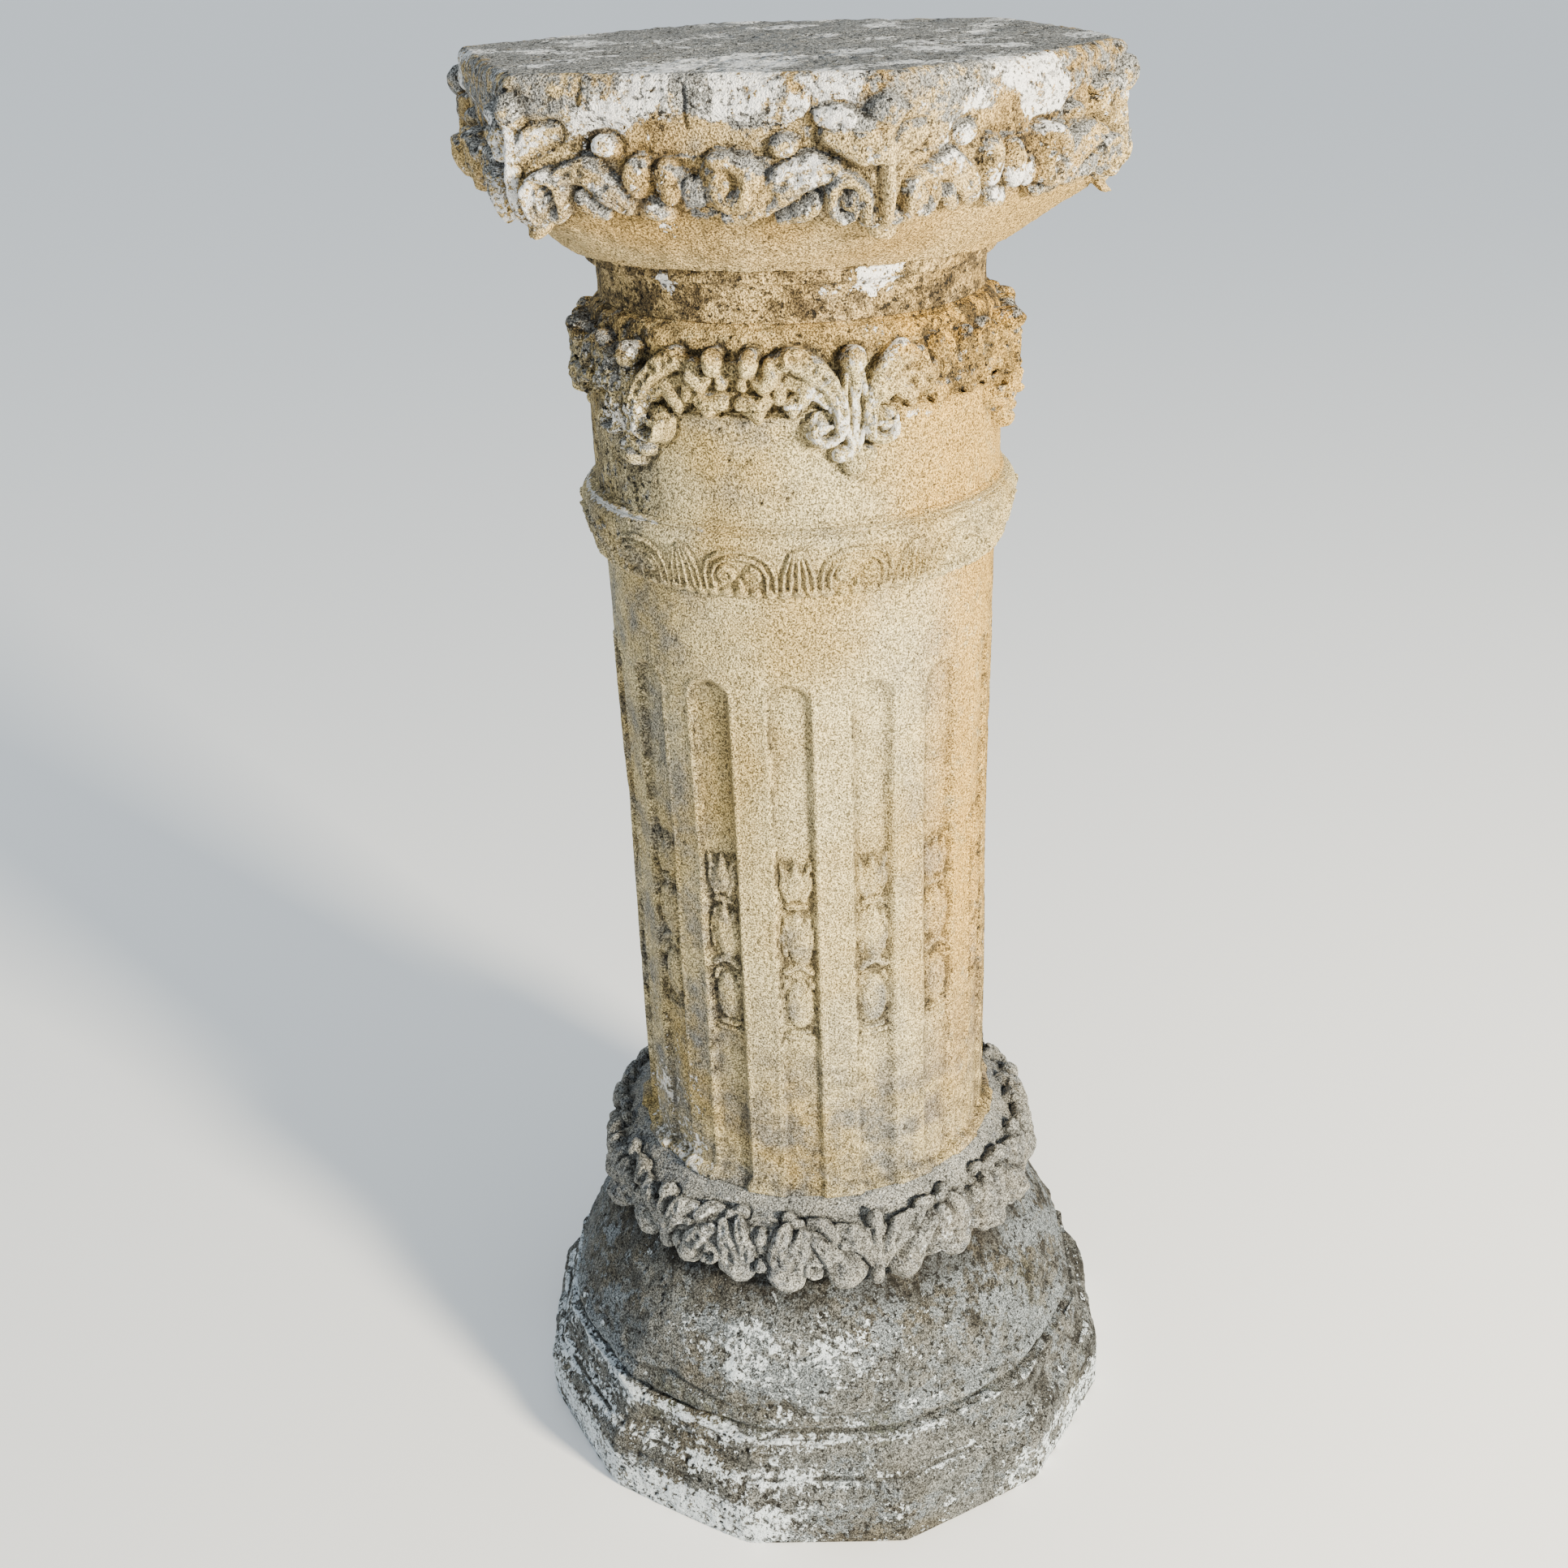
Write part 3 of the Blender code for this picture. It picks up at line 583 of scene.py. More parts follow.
def patch(t, z, place, level, wide, high):
    """Soft patch centred at an angle in degrees from the first corner and a height in metres."""
    away = (t - place + 180.0) % 360.0 - 180.0
    return bell(away / wide) * bell((z - level) / high)


class Relief:
    """One piece: heights over its plain surface, inset towards the axis, and masks for the material."""

    def __init__(self, angles, along, z, p):
        self.angles, self.along, self.z, self.p = angles, along, z, p
        self.t = (np.degrees(angles - CORNER_ANGLE) + 180.0) % 360.0 - 180.0
        self.height, self.inset, self.paint, self.lichen, self.moss = (self.full(0.0) for _ in range(5))
        self.grey, self.dark, self.pit_and_shade, self.flat = (self.full(0.0) for _ in range(4))

    def full(self, value):
        return np.full(self.p.shape[:2], value)

    def noise(self, size, seed, octaves=1):
        return noise(self.p, size, seed, octaves)

    def sector(self, start, rise, end, fall):
        """1 between two angles, fading in over rise and out over fall."""
        return smooth((self.t - start) / rise) * smooth((end - self.t) / fall)

    def spots(self, table):
        return sum(share * patch(self.t, self.z, *place) for *place, share in table)

    def weather(self, broad, middle, fine, seed):
        """Lumps and hollows of three sizes, in millimetres."""
        self.height += MM * broad * self.noise(0.055, seed)
        self.height += MM * middle * self.noise(0.014, seed + 7, 2)
        self.height += MM * fine * self.noise(0.0042, seed + 13, 2)

    def pitted(self, size, share, deep, seed):
        hole = pits(self.p, size, share, seed)
        self.height -= deep * hole
        self.pit_and_shade = np.maximum(self.pit_and_shade, hole)

    def crack(self, place, low, high, deep):
        """Thin crooked cut between two places along the outline."""
        away = (self.t - place + 180.0) % 360.0 - 180.0 - 0.55 * self.noise(0.012, 91, 2)
        ends = smooth((self.along - low) / CRACK_FADE) * smooth((high - self.along) / CRACK_FADE)
        self.height -= deep * bell(away / CRACK_HALF_W) * ends

    def carve(self, carving, keep, moat, width):
        """Raise the carving, worn unevenly, and note where it faces up."""
        worn = 0.9 + 0.26 * self.noise(0.0085, 5, 3)
        self.height += MM * (carving.height * keep * worn + carving.moat(moat, width))
        slope = np.gradient(carving.height, axis=0) / np.maximum(np.gradient(self.along, axis=0) / MM, 0.1)
        self.ledge = smooth(-slope / 0.9)


def warped(p, size, by, seed):
    return by * noise(p, size, seed, 3), by * noise(p, size, seed + 3, 3)


def crown_relief(r, marks):
    dx, dy = warped(r.p, 0.03, 0.0028, 11)
    half_side = 0.5 * CROWN_FACE_R
    across = CROWN_FACE_R * math.cos(math.pi / CORNERS)
    spokes = folded(r.angles, CORNER_ANGLE, CORNERS)
    x = half_side - across * np.tan(math.pi / CORNERS - spokes)
    foot = marks["crown"] - CROWN_CARVING_DROP
    keep = 1.0 - 0.26 * smooth(0.5 + 1.2 * r.noise(0.05, 17))
    keep = keep * (1.0 - r.spots(BROKEN_LEAF))
    left_half = (r.t + 30.0) % 60.0 < 30.0
    c = crown_leaves(x + dx * smooth(x / 0.02), r.along - foot + dy, left_half)
    r.carve(c, keep, 2.2, 1.8)
    side = smooth((r.along - foot) / CROWN_LIP_H)
    back = 0.0035 * bell((r.t % 360.0 - 180.0) / 16.0)
    r.inset = (corner_wear(r.angles) + back) * side * (1.0 - smooth((r.along - marks["top"]) / 0.06))
    bite = unit(r.noise(0.01, 23, 3) + 0.15) + 0.5 * unit(r.noise(0.035, 29))
    r.height -= 0.0034 * bell((r.along - marks["arris"]) / 0.006) * bite
    for place, low, high in RIM_CRACKS:
        r.crack(place, marks["arris"] + low, marks["arris"] + high, CRACK_DEPTH)
    on_top = smooth((r.along - marks["top"]) / 0.004)
    r.weather(0.8, 0.95, 0.75, 41)
    r.height = np.where(on_top > 0.5, -np.abs(r.height) - 0.0002, r.height)
    below = 1.0 - smooth((r.along - foot) / 0.012)
    r.pitted(0.0034, 0.07 + 0.12 * on_top + 0.1 * below * smooth(r.noise(0.05, 43) + 0.5), 0.001, 47)
    r.flat = on_top
    rough = smooth((r.along - marks["face_top"] + 0.004 + 0.014 * r.noise(0.022, 52, 3)) / 0.01)
    face = side * (1.0 - rough)
    r.lichen = 1.2 * on_top + 0.6 * rough + 0.42 * face * smooth(2.0 * r.noise(0.026, 63, 2) + 0.1)
    r.lichen = r.lichen + side * (0.6 * r.ledge + 0.42 * smooth(1.6 * r.noise(0.03, 51, 2) + 0.1))
    r.paint = 0.18 * (1.0 - side) + (0.26 + 0.2 * smooth(c.height / 7.0)) * face
    r.paint = r.paint + (0.48 - 0.06 * on_top + 0.62 * r.noise(0.026, 55, 2) + r.spots(RIM_PAINT)) * rough
    r.paint = r.paint + r.spots(CROWN_PAINT)
    r.grey = 0.2 * side + 0.8 * side * smooth(1.8 * r.noise(0.03, 57, 2)) + on_top
    # Painted shade at the foot of the leaves, and dark mottling.
    r.dark = side * (0.6 * c.hollows(3.0) + 0.7 * smooth(1.8 * r.noise(0.02, 60, 2) + 0.1))
    r.dark = r.dark + 0.3 * below * smooth(0.3 - r.noise(0.05, 59)) + 0.5 * on_top
    r.moss = 0.7 * r.sector(5.0, 30.0, 110.0, 20.0) * (1.0 - 0.7 * side)


def neck_relief(r, marks):
    r.weather(0.5, 0.45, 0.3, 61)
    right = r.sector(18.0, 25.0, 100.0, 20.0)
    r.pitted(0.0036, 0.14 + 0.26 * right, 0.0014, 67)
    r.grey = 0.25 + 0.3 * smooth(r.noise(0.05, 71))
    # The whole neck is darkened: dirt and pits, and painted shade under the crown.
    r.dark = 0.95 + 0.05 * right
    r.moss = r.full(0.4)
    r.paint = 0.12 + r.spots(NECK_PAINT)


def drum_relief(r, marks):
    dx, dy = warped(r.p, 0.028, 0.0026, 81)
    x = folded(r.angles, CORNER_ANGLE, CORNERS) * DRUM_R
    y = r.along - marks["garland"]
    worn = r.sector(10.0, 8.0, 52.0, 6.0)
    keep = 1.0 - 0.28 * smooth(0.4 + 1.3 * r.noise(0.045, 83))
    c = garland(x + dx * smooth(x / 0.02), y + dy)
    r.carve(c, keep * (1.0 - 0.45 * worn), 1.6, 1.8)
    r.height += 0.0042 * worn * bell((y - 0.062) / 0.016) * (0.5 + r.noise(0.016, 87, 2))
    in_garland = smooth((y - 0.03) / 0.01)
    above = smooth((y - 0.066) / 0.008)
    r.weather(0.35, 0.35 + 0.5 * in_garland, 0.26 + 0.2 * in_garland, 89)
    right = r.sector(12.0, 18.0, 100.0, 20.0)
    left = r.sector(-110.0, 12.0, -48.0, 12.0)
    cover = np.clip(0.06 + (0.16 + 0.42 * right) * in_garland + 0.2 * left, 0.0, 0.7)
    r.pitted(0.0038, 0.8 * cover, 0.0017, 97)
    # Darker above the garland, on its right side and on the left side; painted shade in the hollows round its
    # strokes.
    r.dark = 0.5 * above + (0.7 * right + 0.65 * c.hollows(3.5)) * in_garland + 0.7 * left
    r.moss = 0.75 * r.sector(2.0, 25.0, 110.0, 20.0) + 0.5 * above
    r.grey = 0.15 + 0.55 * smooth(1.5 * r.noise(0.07, 99) + 0.2) * (1.0 - in_garland) + 0.35 * left
    r.paint = smooth(c.height / 5.0) * (0.36 + r.spots(GARLAND_PAINT)) + r.spots(DRUM_PAINT) + 0.06 * left
    r.lichen = 0.45 * r.ledge + 0.3 * left


def band_relief(r, marks):
    dx, dy = warped(r.p, 0.024, 0.0011, 101)
    x = folded(r.angles, CORNER_ANGLE, BAND_REPEATS) * BAND_R
    clear = smooth(1.1 - 1.4 * r.noise(0.06, 103))
    c = band_scrolls(x + dx, r.along - marks["ring"] + dy)
    r.carve(c, 1.15 + 0.35 * clear, 0.8, 0.9)
    r.weather(0.35, 0.32, 0.22, 107)
    left = r.sector(-120.0, 12.0, -50.0, 14.0)
    r.pitted(0.0034, 0.04 + 0.22 * left, 0.0011, 109)
    r.grey = 0.25 + 0.4 * left + 0.25 * smooth(r.noise(0.05, 113))
    r.paint = 0.5 * bell((r.along - marks["ring_top"]) / 0.004) + 0.3 * left
    r.lichen = 0.25 * left


def flute_relief(r, marks):
    pitch = 2.0 * math.pi / FLUTES
    x = (r.angles - FLUTE_ANGLE) % pitch
    x = np.where(x > 0.5 * pitch, x - pitch, x) * SHAFT_R
    y = r.along - marks["shaft"]
    dx, dy = warped(r.p, 0.03, 0.0006, 121)
    bed, inside = flute_bed(x + dx, SHAFT_H - FLUTE_TOP_GAP + dy, y)
    side_wear = r.sector(20.0, 20.0, 140.0, 20.0)
    soft = 1.25 - 0.3 * smooth(1.5 * r.noise(0.09, 123)) - 0.35 * smooth((0.1 - y) / 0.1)
    r.height += bed * soft * (1.0 - 0.3 * side_wear)
    stack_y = y - BUD_STACK_FOOT
    c = buds(x + dx, stack_y + 2.0 * dy)
    keep = (1.1 + 0.3 * r.noise(0.05, 127)) * smooth((inside + 0.002) / 0.003)
    r.carve(c, keep * (1.0 - 0.25 * side_wear), 0.9, 0.8)
    r.weather(0.45, 0.25, 0.24, 131)
    edge_on = r.sector(52.0, 12.0, 110.0, 20.0)
    r.pitted(0.0036, 0.015 + 0.3 * edge_on + 0.05 * smooth((0.15 - y) / 0.15), 0.0011, 137)
    low = smooth((0.22 - y) / 0.22)
    left = r.sector(-100.0, 12.0, -45.0, 12.0)
    r.paint = (0.3 + 0.14 * smooth(r.noise(0.03, 141))) * low + 0.3 * edge_on * (1.0 - low)
    r.paint = r.paint + 0.22 * left * smooth((0.26 - y) / 0.1)
    # Painted shadow and dirt along the edges of the channels, stronger on their left edges.
    shadow_and_dirt_line = bell((inside - 0.0004) / 0.0013) * smooth((y - 0.05) / 0.05) * (0.45 + 0.55 * (x < 0.0))
    on_stack = smooth((stack_y + 0.004) / 0.006) * smooth((BUD_STACK_H + 0.004 - stack_y) / 0.006)
    # Painted shade on the ground beside the buds.
    shade_beside_buds = on_stack * smooth(inside / 0.003) * smooth(1.0 - c.height / 1.2)
    r.dark = 0.45 * edge_on + 0.42 * low + 0.95 * shadow_and_dirt_line + 0.8 * shade_beside_buds
    streaks = noise(r.p * (1.0, 1.0, 0.6), 0.075, 139)
    r.grey = 0.1 + 0.6 * smooth(1.7 * streaks + 0.05) + 0.85 * low
    # Greyer on the left side; grey on the raised buds is painted shading.
    r.grey = r.grey + 0.75 * r.sector(-130.0, 20.0, -34.0, 22.0) + 0.6 * on_stack * smooth(c.height / 2.0)
    r.moss = 0.85 * r.sector(12.0, 30.0, 120.0, 20.0) * (1.0 - 0.6 * low)


def collar_relief(r, marks):
    dx, dy = warped(r.p, 0.022, 0.003, 151)
    x = folded(r.angles, CORNER_ANGLE, CORNERS) * COLLAR_R
    y = r.along - marks["collar"] - COLLAR_LEAF_RISE
    keep = 1.0 - 0.32 * smooth(0.3 + 1.4 * r.noise(0.04, 153))
    c = collar_leaves(x + dx * smooth(x / 0.02), COLLAR_LEAF_SQUEEZE * y + dy)
    r.carve(c, keep, 1.8, 1.5)
    r.weather(0.4, 0.85, 0.6, 157)
    r.pitted(0.0034, 0.1, 0.0012, 163)
    r.grey = r.full(0.8)
    r.lichen = 0.3 + 0.35 * smooth(1.5 * r.noise(0.04, 167, 2))
    r.paint = 0.3 + r.spots(COLLAR_PAINT)
    apron = smooth((y - 0.048) / 0.006)
    # Painted shade under the collar and in the hollows round its leaves; the face below the apron is a little
    # darker.
    shade_under_collar = 1.0 - smooth((y + 0.008) / 0.006)
    r.dark = 0.9 * shade_under_collar + 0.3 * (1.0 - apron) + 0.55 * c.hollows(3.0)


def foot_relief(r, marks):
    above = {name: r.along - place for name, place in marks.items()}
    r.weather(1.1, 1.3, 0.65, 171)
    r.height -= 0.0016 * unit(r.noise(0.022, 173, 2))
    band_edge, ledge, face_edge = (bell(above[k] / 0.005) for k in ("band_top", "ledge", "face_top"))
    chipped = smooth(1.6 * r.noise(0.018, 179, 2) + 0.2)
    r.height -= 0.0022 * (ledge + face_edge + 0.7 * band_edge) * chipped
    lines = np.sin(2.0 * math.pi * r.along / 0.0085 + 1.8 * r.noise(0.03, 181))
    r.height += 0.0007 * lines * smooth((above["band_top"] + 0.004) / 0.006) * smooth(-above["toe"] / 0.006)
    r.height -= 0.0026 * bell(above["toe"] / 0.0022)
    wave = 0.004 * np.sin(14.0 * r.angles + 2.2 * r.noise(0.04, 185))
    r.height -= 0.002 * bell((above["bell"] - 0.006 - wave) / 0.0024)
    r.height += 0.0016 * bell((above["bell"] - 0.011 - wave) / 0.0034)
    folds = np.sin(34.0 * r.angles + 3.0 * r.noise(0.03, 183))
    r.height += 0.0008 * folds * bell((above["bell"] - 0.01) / 0.014)
    on_bell = smooth(above["toe"] / 0.006)
    r.pitted(0.004, 0.3 - 0.22 * on_bell, 0.0019, 191)
    r.pitted(0.0058, 0.1 * (1.0 - on_bell), 0.0024, 193)
    r.crack(FOOT_CRACK, 0.0, marks["face_top"], FOOT_CRACK_DEPTH)
    r.height = np.where(r.along < 0.004, np.minimum(r.height, 0.0), r.height)
    low = smooth((0.004 - above["band_top"]) / 0.012)
    left = r.sector(-120.0, 12.0, -10.0, 25.0)
    right = r.sector(15.0, 25.0, 130.0, 20.0)
    r.grey = r.full(0.8)
    r.lichen = 0.12 + 0.45 * smooth(1.8 * r.noise(0.03, 197, 2) + 0.3) + 0.25 * on_bell
    r.paint = 0.4 - 0.08 * on_bell - 0.1 * right + 0.22 * (ledge + face_edge)
    r.paint = r.paint + 0.12 * bell(above["bell"] / 0.008)
    r.paint = r.paint + low * (0.06 + 0.16 * left + 0.3 * right) + 0.12 * left * (1.0 - on_bell)
    r.paint = r.paint + on_bell * r.spots(BELL_PAINT) + 0.19 * r.noise(0.02, 195, 3)
    damp = 0.2 + 0.8 * bell(above["toe"] / 0.02)
    r.moss = smooth(1.8 * r.noise(0.045, 199, 2) - 0.1) * damp * (0.35 + 0.65 * right)
    # Painted shade at the top of the bell, under the collar, also put into the pit mask.
    shade_under_collar = smooth((above["seat"] + 0.034) / 0.022)
    r.dark = 0.55 + 0.5 * r.noise(0.035, 201, 2) + 0.55 * shade_under_collar + 0.45 * right
    r.pit_and_shade = np.maximum(r.pit_and_shade, 0.75 * shade_under_collar)


def foot_outline():
    o = Outline(FOOT_R - ARRIS, 0.0, plan=1.0, row=FOOT_ROW)
    o.to(FOOT_R, ARRIS).up(FOOT_BAND_H - ARRIS).mark("band_top")
    o.roll(-FOOT_SHOULDER_RUN, FOOT_SHOULDER_H, 0.25 * FOOT_SHOULDER_RUN).mark("ledge")
    o.roll(-FOOT_LEDGE_RUN, FOOT_LEDGE_H, 0.0, parts=1)
    o.roll(-FOOT_FACE_RUN, FOOT_FACE_H, 0.0, plan=0.9, parts=4).mark("face_top")
    o.roll(-BELL_LEDGE_RUN, BELL_LEDGE_H, 0.0, plan=0.6, parts=2).mark("toe")
    o.roll(0.0, BELL_TOE_H, BELL_TOE_BULGE, plan=0.4, parts=6).mark("bell")
    o.roll(-BELL_RUN, BELL_H - ARRIS, BELL_BULGE, plan=0.0, parts=12).mark("seat")
    o.to(SEAT_R - ARRIS, FOOT_TOP)
    return o


def shaft_outline():
    low = FOOT_TOP + JOINT_GAP
    o = Outline(SEAT_R - ARRIS, low, row=FOOT_ROW)
    o.to(SEAT_R, low + ARRIS).up(NECKING_H - ARRIS)
    shoulder = low + NECKING_H
    o.to(COLLAR_R - 0.5 * COLLAR_SHOULDER, shoulder).mark("collar").fine(COLLAR_ROW)
    o.curve(0.5 * COLLAR_SHOULDER, 0.5 * COLLAR_SHOULDER, "out")
    o.up(COLLAR_FACE_H - 1.5 * COLLAR_SHOULDER)
    o.curve(-COLLAR_SHOULDER, COLLAR_SHOULDER, "up")
    o.to(SHAFT_R + 1.8 * RING_BEAD, shoulder + COLLAR_FACE_H + COLLAR_APRON_H)
    o.cut().fine(BEAD_ROW)
    o.roll(-0.8 * RING_BEAD, 1.4 * RING_BEAD, 0.4 * RING_BEAD)
    o.to(SHAFT_R, o.points[-1][1] + 0.3 * RING_BEAD).mark("shaft")
    base = o.points[-1][1]
    ring_low = base + SHAFT_H
    o.fine(PLAIN_SHAFT_ROW).up(BUD_STACK_FOOT - 0.003).fine(CARVED_SHAFT_ROW).up(BUD_STACK_H + 0.006)
    level = base + 0.55 * SHAFT_H
    flute_end = base + SHAFT_H - FLUTE_TOP_GAP
    for row, height in ((CARVED_SHAFT_ROW, level), (PLAIN_SHAFT_ROW, flute_end - FLUTE_HALF_W),
                        (CARVED_SHAFT_ROW, flute_end + 0.004), (UPPER_SHAFT_ROW, ring_low)):
        share = (height - level) / (ring_low - level)
        if height > o.points[-1][1]:
            o.fine(row).to(SHAFT_R + SHAFT_SWELL * max(0.0, share), height)
    o.mark("ring").cut().fine(RING_ROW)
    o.curve(0.45 * (BAND_R - SHAFT_R - SHAFT_SWELL), 0.12 * BAND_H, "out", parts=3)
    o.to(BAND_R, ring_low + 0.76 * BAND_H)
    o.curve(DRUM_R + 2 * BEAD - BAND_R, 0.24 * BAND_H, "up").mark("ring_top")
    o.roll(-BEAD, 1.2 * BEAD, BEAD, parts=4).cut().roll(-BEAD, 1.2 * BEAD, 0.5 * BEAD, parts=4)
    drum_low = o.points[-1][1]
    o.fine(DRUM_ROW).to(DRUM_R, drum_low + GARLAND_FOOT).mark("garland").fine(GARLAND_ROW)
    o.up(0.42 * GARLAND_H)
    o.roll(0.0, 1.6 * BEAD, 0.9 * BEAD, parts=4).roll(0.0, 1.6 * BEAD, 0.9 * BEAD, parts=4)
    o.to(DRUM_R, drum_low + DRUM_H)
    o.curve(NECK_R - DRUM_R, NECK_H - ARRIS, "up")
    o.to(NECK_R - ARRIS, drum_low + DRUM_H + NECK_H)
    return o


def capital_outline(low):
    o = Outline(NECK_R - ARRIS, low, row=CAPITAL_NECK_ROW)
    o.to(NECK_R, low + ARRIS).roll(0.0, CAPITAL_NECK_H - ARRIS, -0.15 * ARRIS)
    o.curve(FILLET_R - NECK_R, 0.5 * FILLET_H, "up", parts=4)
    o.up(0.5 * FILLET_H).cut().fine(BOWL_ROW)
    o.to(FILLET_R + BOWL_LIP, o.points[-1][1] + 0.1 * BOWL_LIP)
    o.roll(CROWN_FOOT_R - FILLET_R - BOWL_LIP, BOWL_H, BOWL_BULGE, plan=1.0, parts=10)
    o.mark("crown").fine(CROWN_ROW)
    o.roll(CROWN_FACE_R - CROWN_FOOT_R, CROWN_LIP_H, 0.2 * CROWN_LIP_H)
    o.up(CROWN_FACE_H).mark("face_top")
    o.roll(RIM_R - CROWN_FACE_R, 0.25 * RIM_H, 0.0).up(0.75 * RIM_H - RIM_ROUND).mark("arris")
    o.curve(-RIM_ROUND, RIM_ROUND, "up")
    o.mark("top").fine(TOP_ROW)
    o.to(TOP_HOLE_R, o.points[-1][1])
    return o


def placed(name, data):
    """New object in the scene."""
    made = bpy.data.objects.new(name, data)
    bpy.context.scene.collection.objects.link(made)
    return made


def columns(count, share):
    """Angles round the column, closer together on the side that faces the camera."""
    fine = np.linspace(-math.pi, math.pi, 4001)
    weight = 1.0 - (1.0 - share) * smooth((np.abs(fine) - FRONT_HALF) / FRONT_FADE)
    total = np.concatenate([[0.0], np.cumsum(0.5 * (weight[1:] + weight[:-1]))])
    return FRONT + np.interp(np.arange(count) / count, total / total[-1], fine)


def make_piece(name, node, slot, outline, first, last, plan_of, relief_of, count, share, material):
    """One closed piece: rows of the outline from first to last, raised by the relief, and closed inside."""
    sides, softness = plan_of
    r, z, plan = (np.array(c)[:, None] for c in zip(*outline.points))
    run = np.hypot(np.diff(r[:, 0]), np.diff(z[:, 0]))
    along = np.concatenate([[0.0], np.cumsum(run)])[:, None]
    dr, dz = np.gradient(r[:, 0]), np.gradient(z[:, 0])
    size = np.hypot(dr, dz)
    out, up = (dz / size)[:, None], (-dr / size)[:, None]
    rows = slice(first, last + 1)
    r, z, plan, along, out, up = (a[rows] for a in (r, z, plan, along, out, up))
    angles = columns(count, share)[None, :]
    radius = r * (1.0 + plan * (plan_share(angles, sides, softness) - 1.0))
    p = np.stack([radius * np.sin(angles), -radius * np.cos(angles), z + 0.0 * angles], axis=-1)
    relief = Relief(angles, along, z, p)
    relief_of(relief, outline.marks)
    lift = relief.height
    if first == 0:
        lift[0] = 0.0
    if last == len(outline.points) - 1 and node != "capital":
        lift[-1] = 0.0
    # Hollows, found from the mean of the heights round each point, get painted shade and dirt and keep no
    # paint; raised parts get a painted highlight.
    narrow, wide = blurred(lift, 3) - lift, blurred(lift, 8) - lift
    carved = 1.0 - relief.flat
    cavity = unit(narrow / NARROW_HOLLOW) + unit(wide / WIDE_HOLLOW)
    cavity = cavity * 0.6 * carved
    raised_highlight = unit(-wide / WIDE_RISE) * carved
    radius, z = radius + lift * out - relief.inset, z + lift * up
    low, high = CAD_BOX
    x = np.clip(radius * np.sin(angles), low.x + BOX_MARGIN, high.x - BOX_MARGIN)
    y = np.clip(-radius * np.cos(angles), low.y + BOX_MARGIN, high.y - BOX_MARGIN)
    z = np.clip(z, 0.0, high.z)
    points = np.stack([x, y, z + 0.0 * x], axis=-1)
    inside = (INSIDE_SHARE, INSIDE_SHARE, 1.0)
    grid = np.array([points[0] * inside, *points, points[-1] * inside])
    grid[0, :, 2] = points[0, :, 2].mean()
    grid[-1, :, 2] = points[-1, :, 2].mean()
    n, m = grid.shape[:2]
    index = np.arange(n * m).reshape(n, m)
    right = np.roll(index, -1, axis=1)
    quads = np.stack([index[:-1], right[:-1], right[1:], index[1:]], axis=-1).reshape(-1, 4)
    mesh = bpy.data.meshes.new(name)
    faces = quads.tolist() + [index[0, ::-1].tolist(), index[-1].tolist()]
    mesh.from_pydata(grid.reshape(-1, 3).tolist(), [], faces)
    mesh.polygons.foreach_set("use_smooth", np.ones(len(faces), bool))
    # Masks for the material: hollows (painted shade and dirt, kept free of paint), paint, lichen, pits (with
    # painted shade under the collar); then stains, moss, darkening (stains and painted shade) and the painted
    # highlight.
    masks = (("wear_and_shade", cavity, relief.paint, relief.lichen, relief.pit_and_shade),
             ("tone_and_shading", relief.grey, relief.moss, relief.dark, raised_highlight))
    for label, *parts in masks:
        values = np.stack([np.broadcast_to(a, points.shape[:2]) for a in parts], axis=-1)
        values = np.concatenate([values[:1], values, values[-1:]])
        layer = mesh.attributes.new(label, "FLOAT_COLOR", "POINT")
        layer.data.foreach_set("color", unit(values).astype(np.float32).ravel())
    mesh.update()
    mesh.materials.append(material)
    piece = placed(name, mesh)
    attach(piece, "root")
    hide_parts(node)


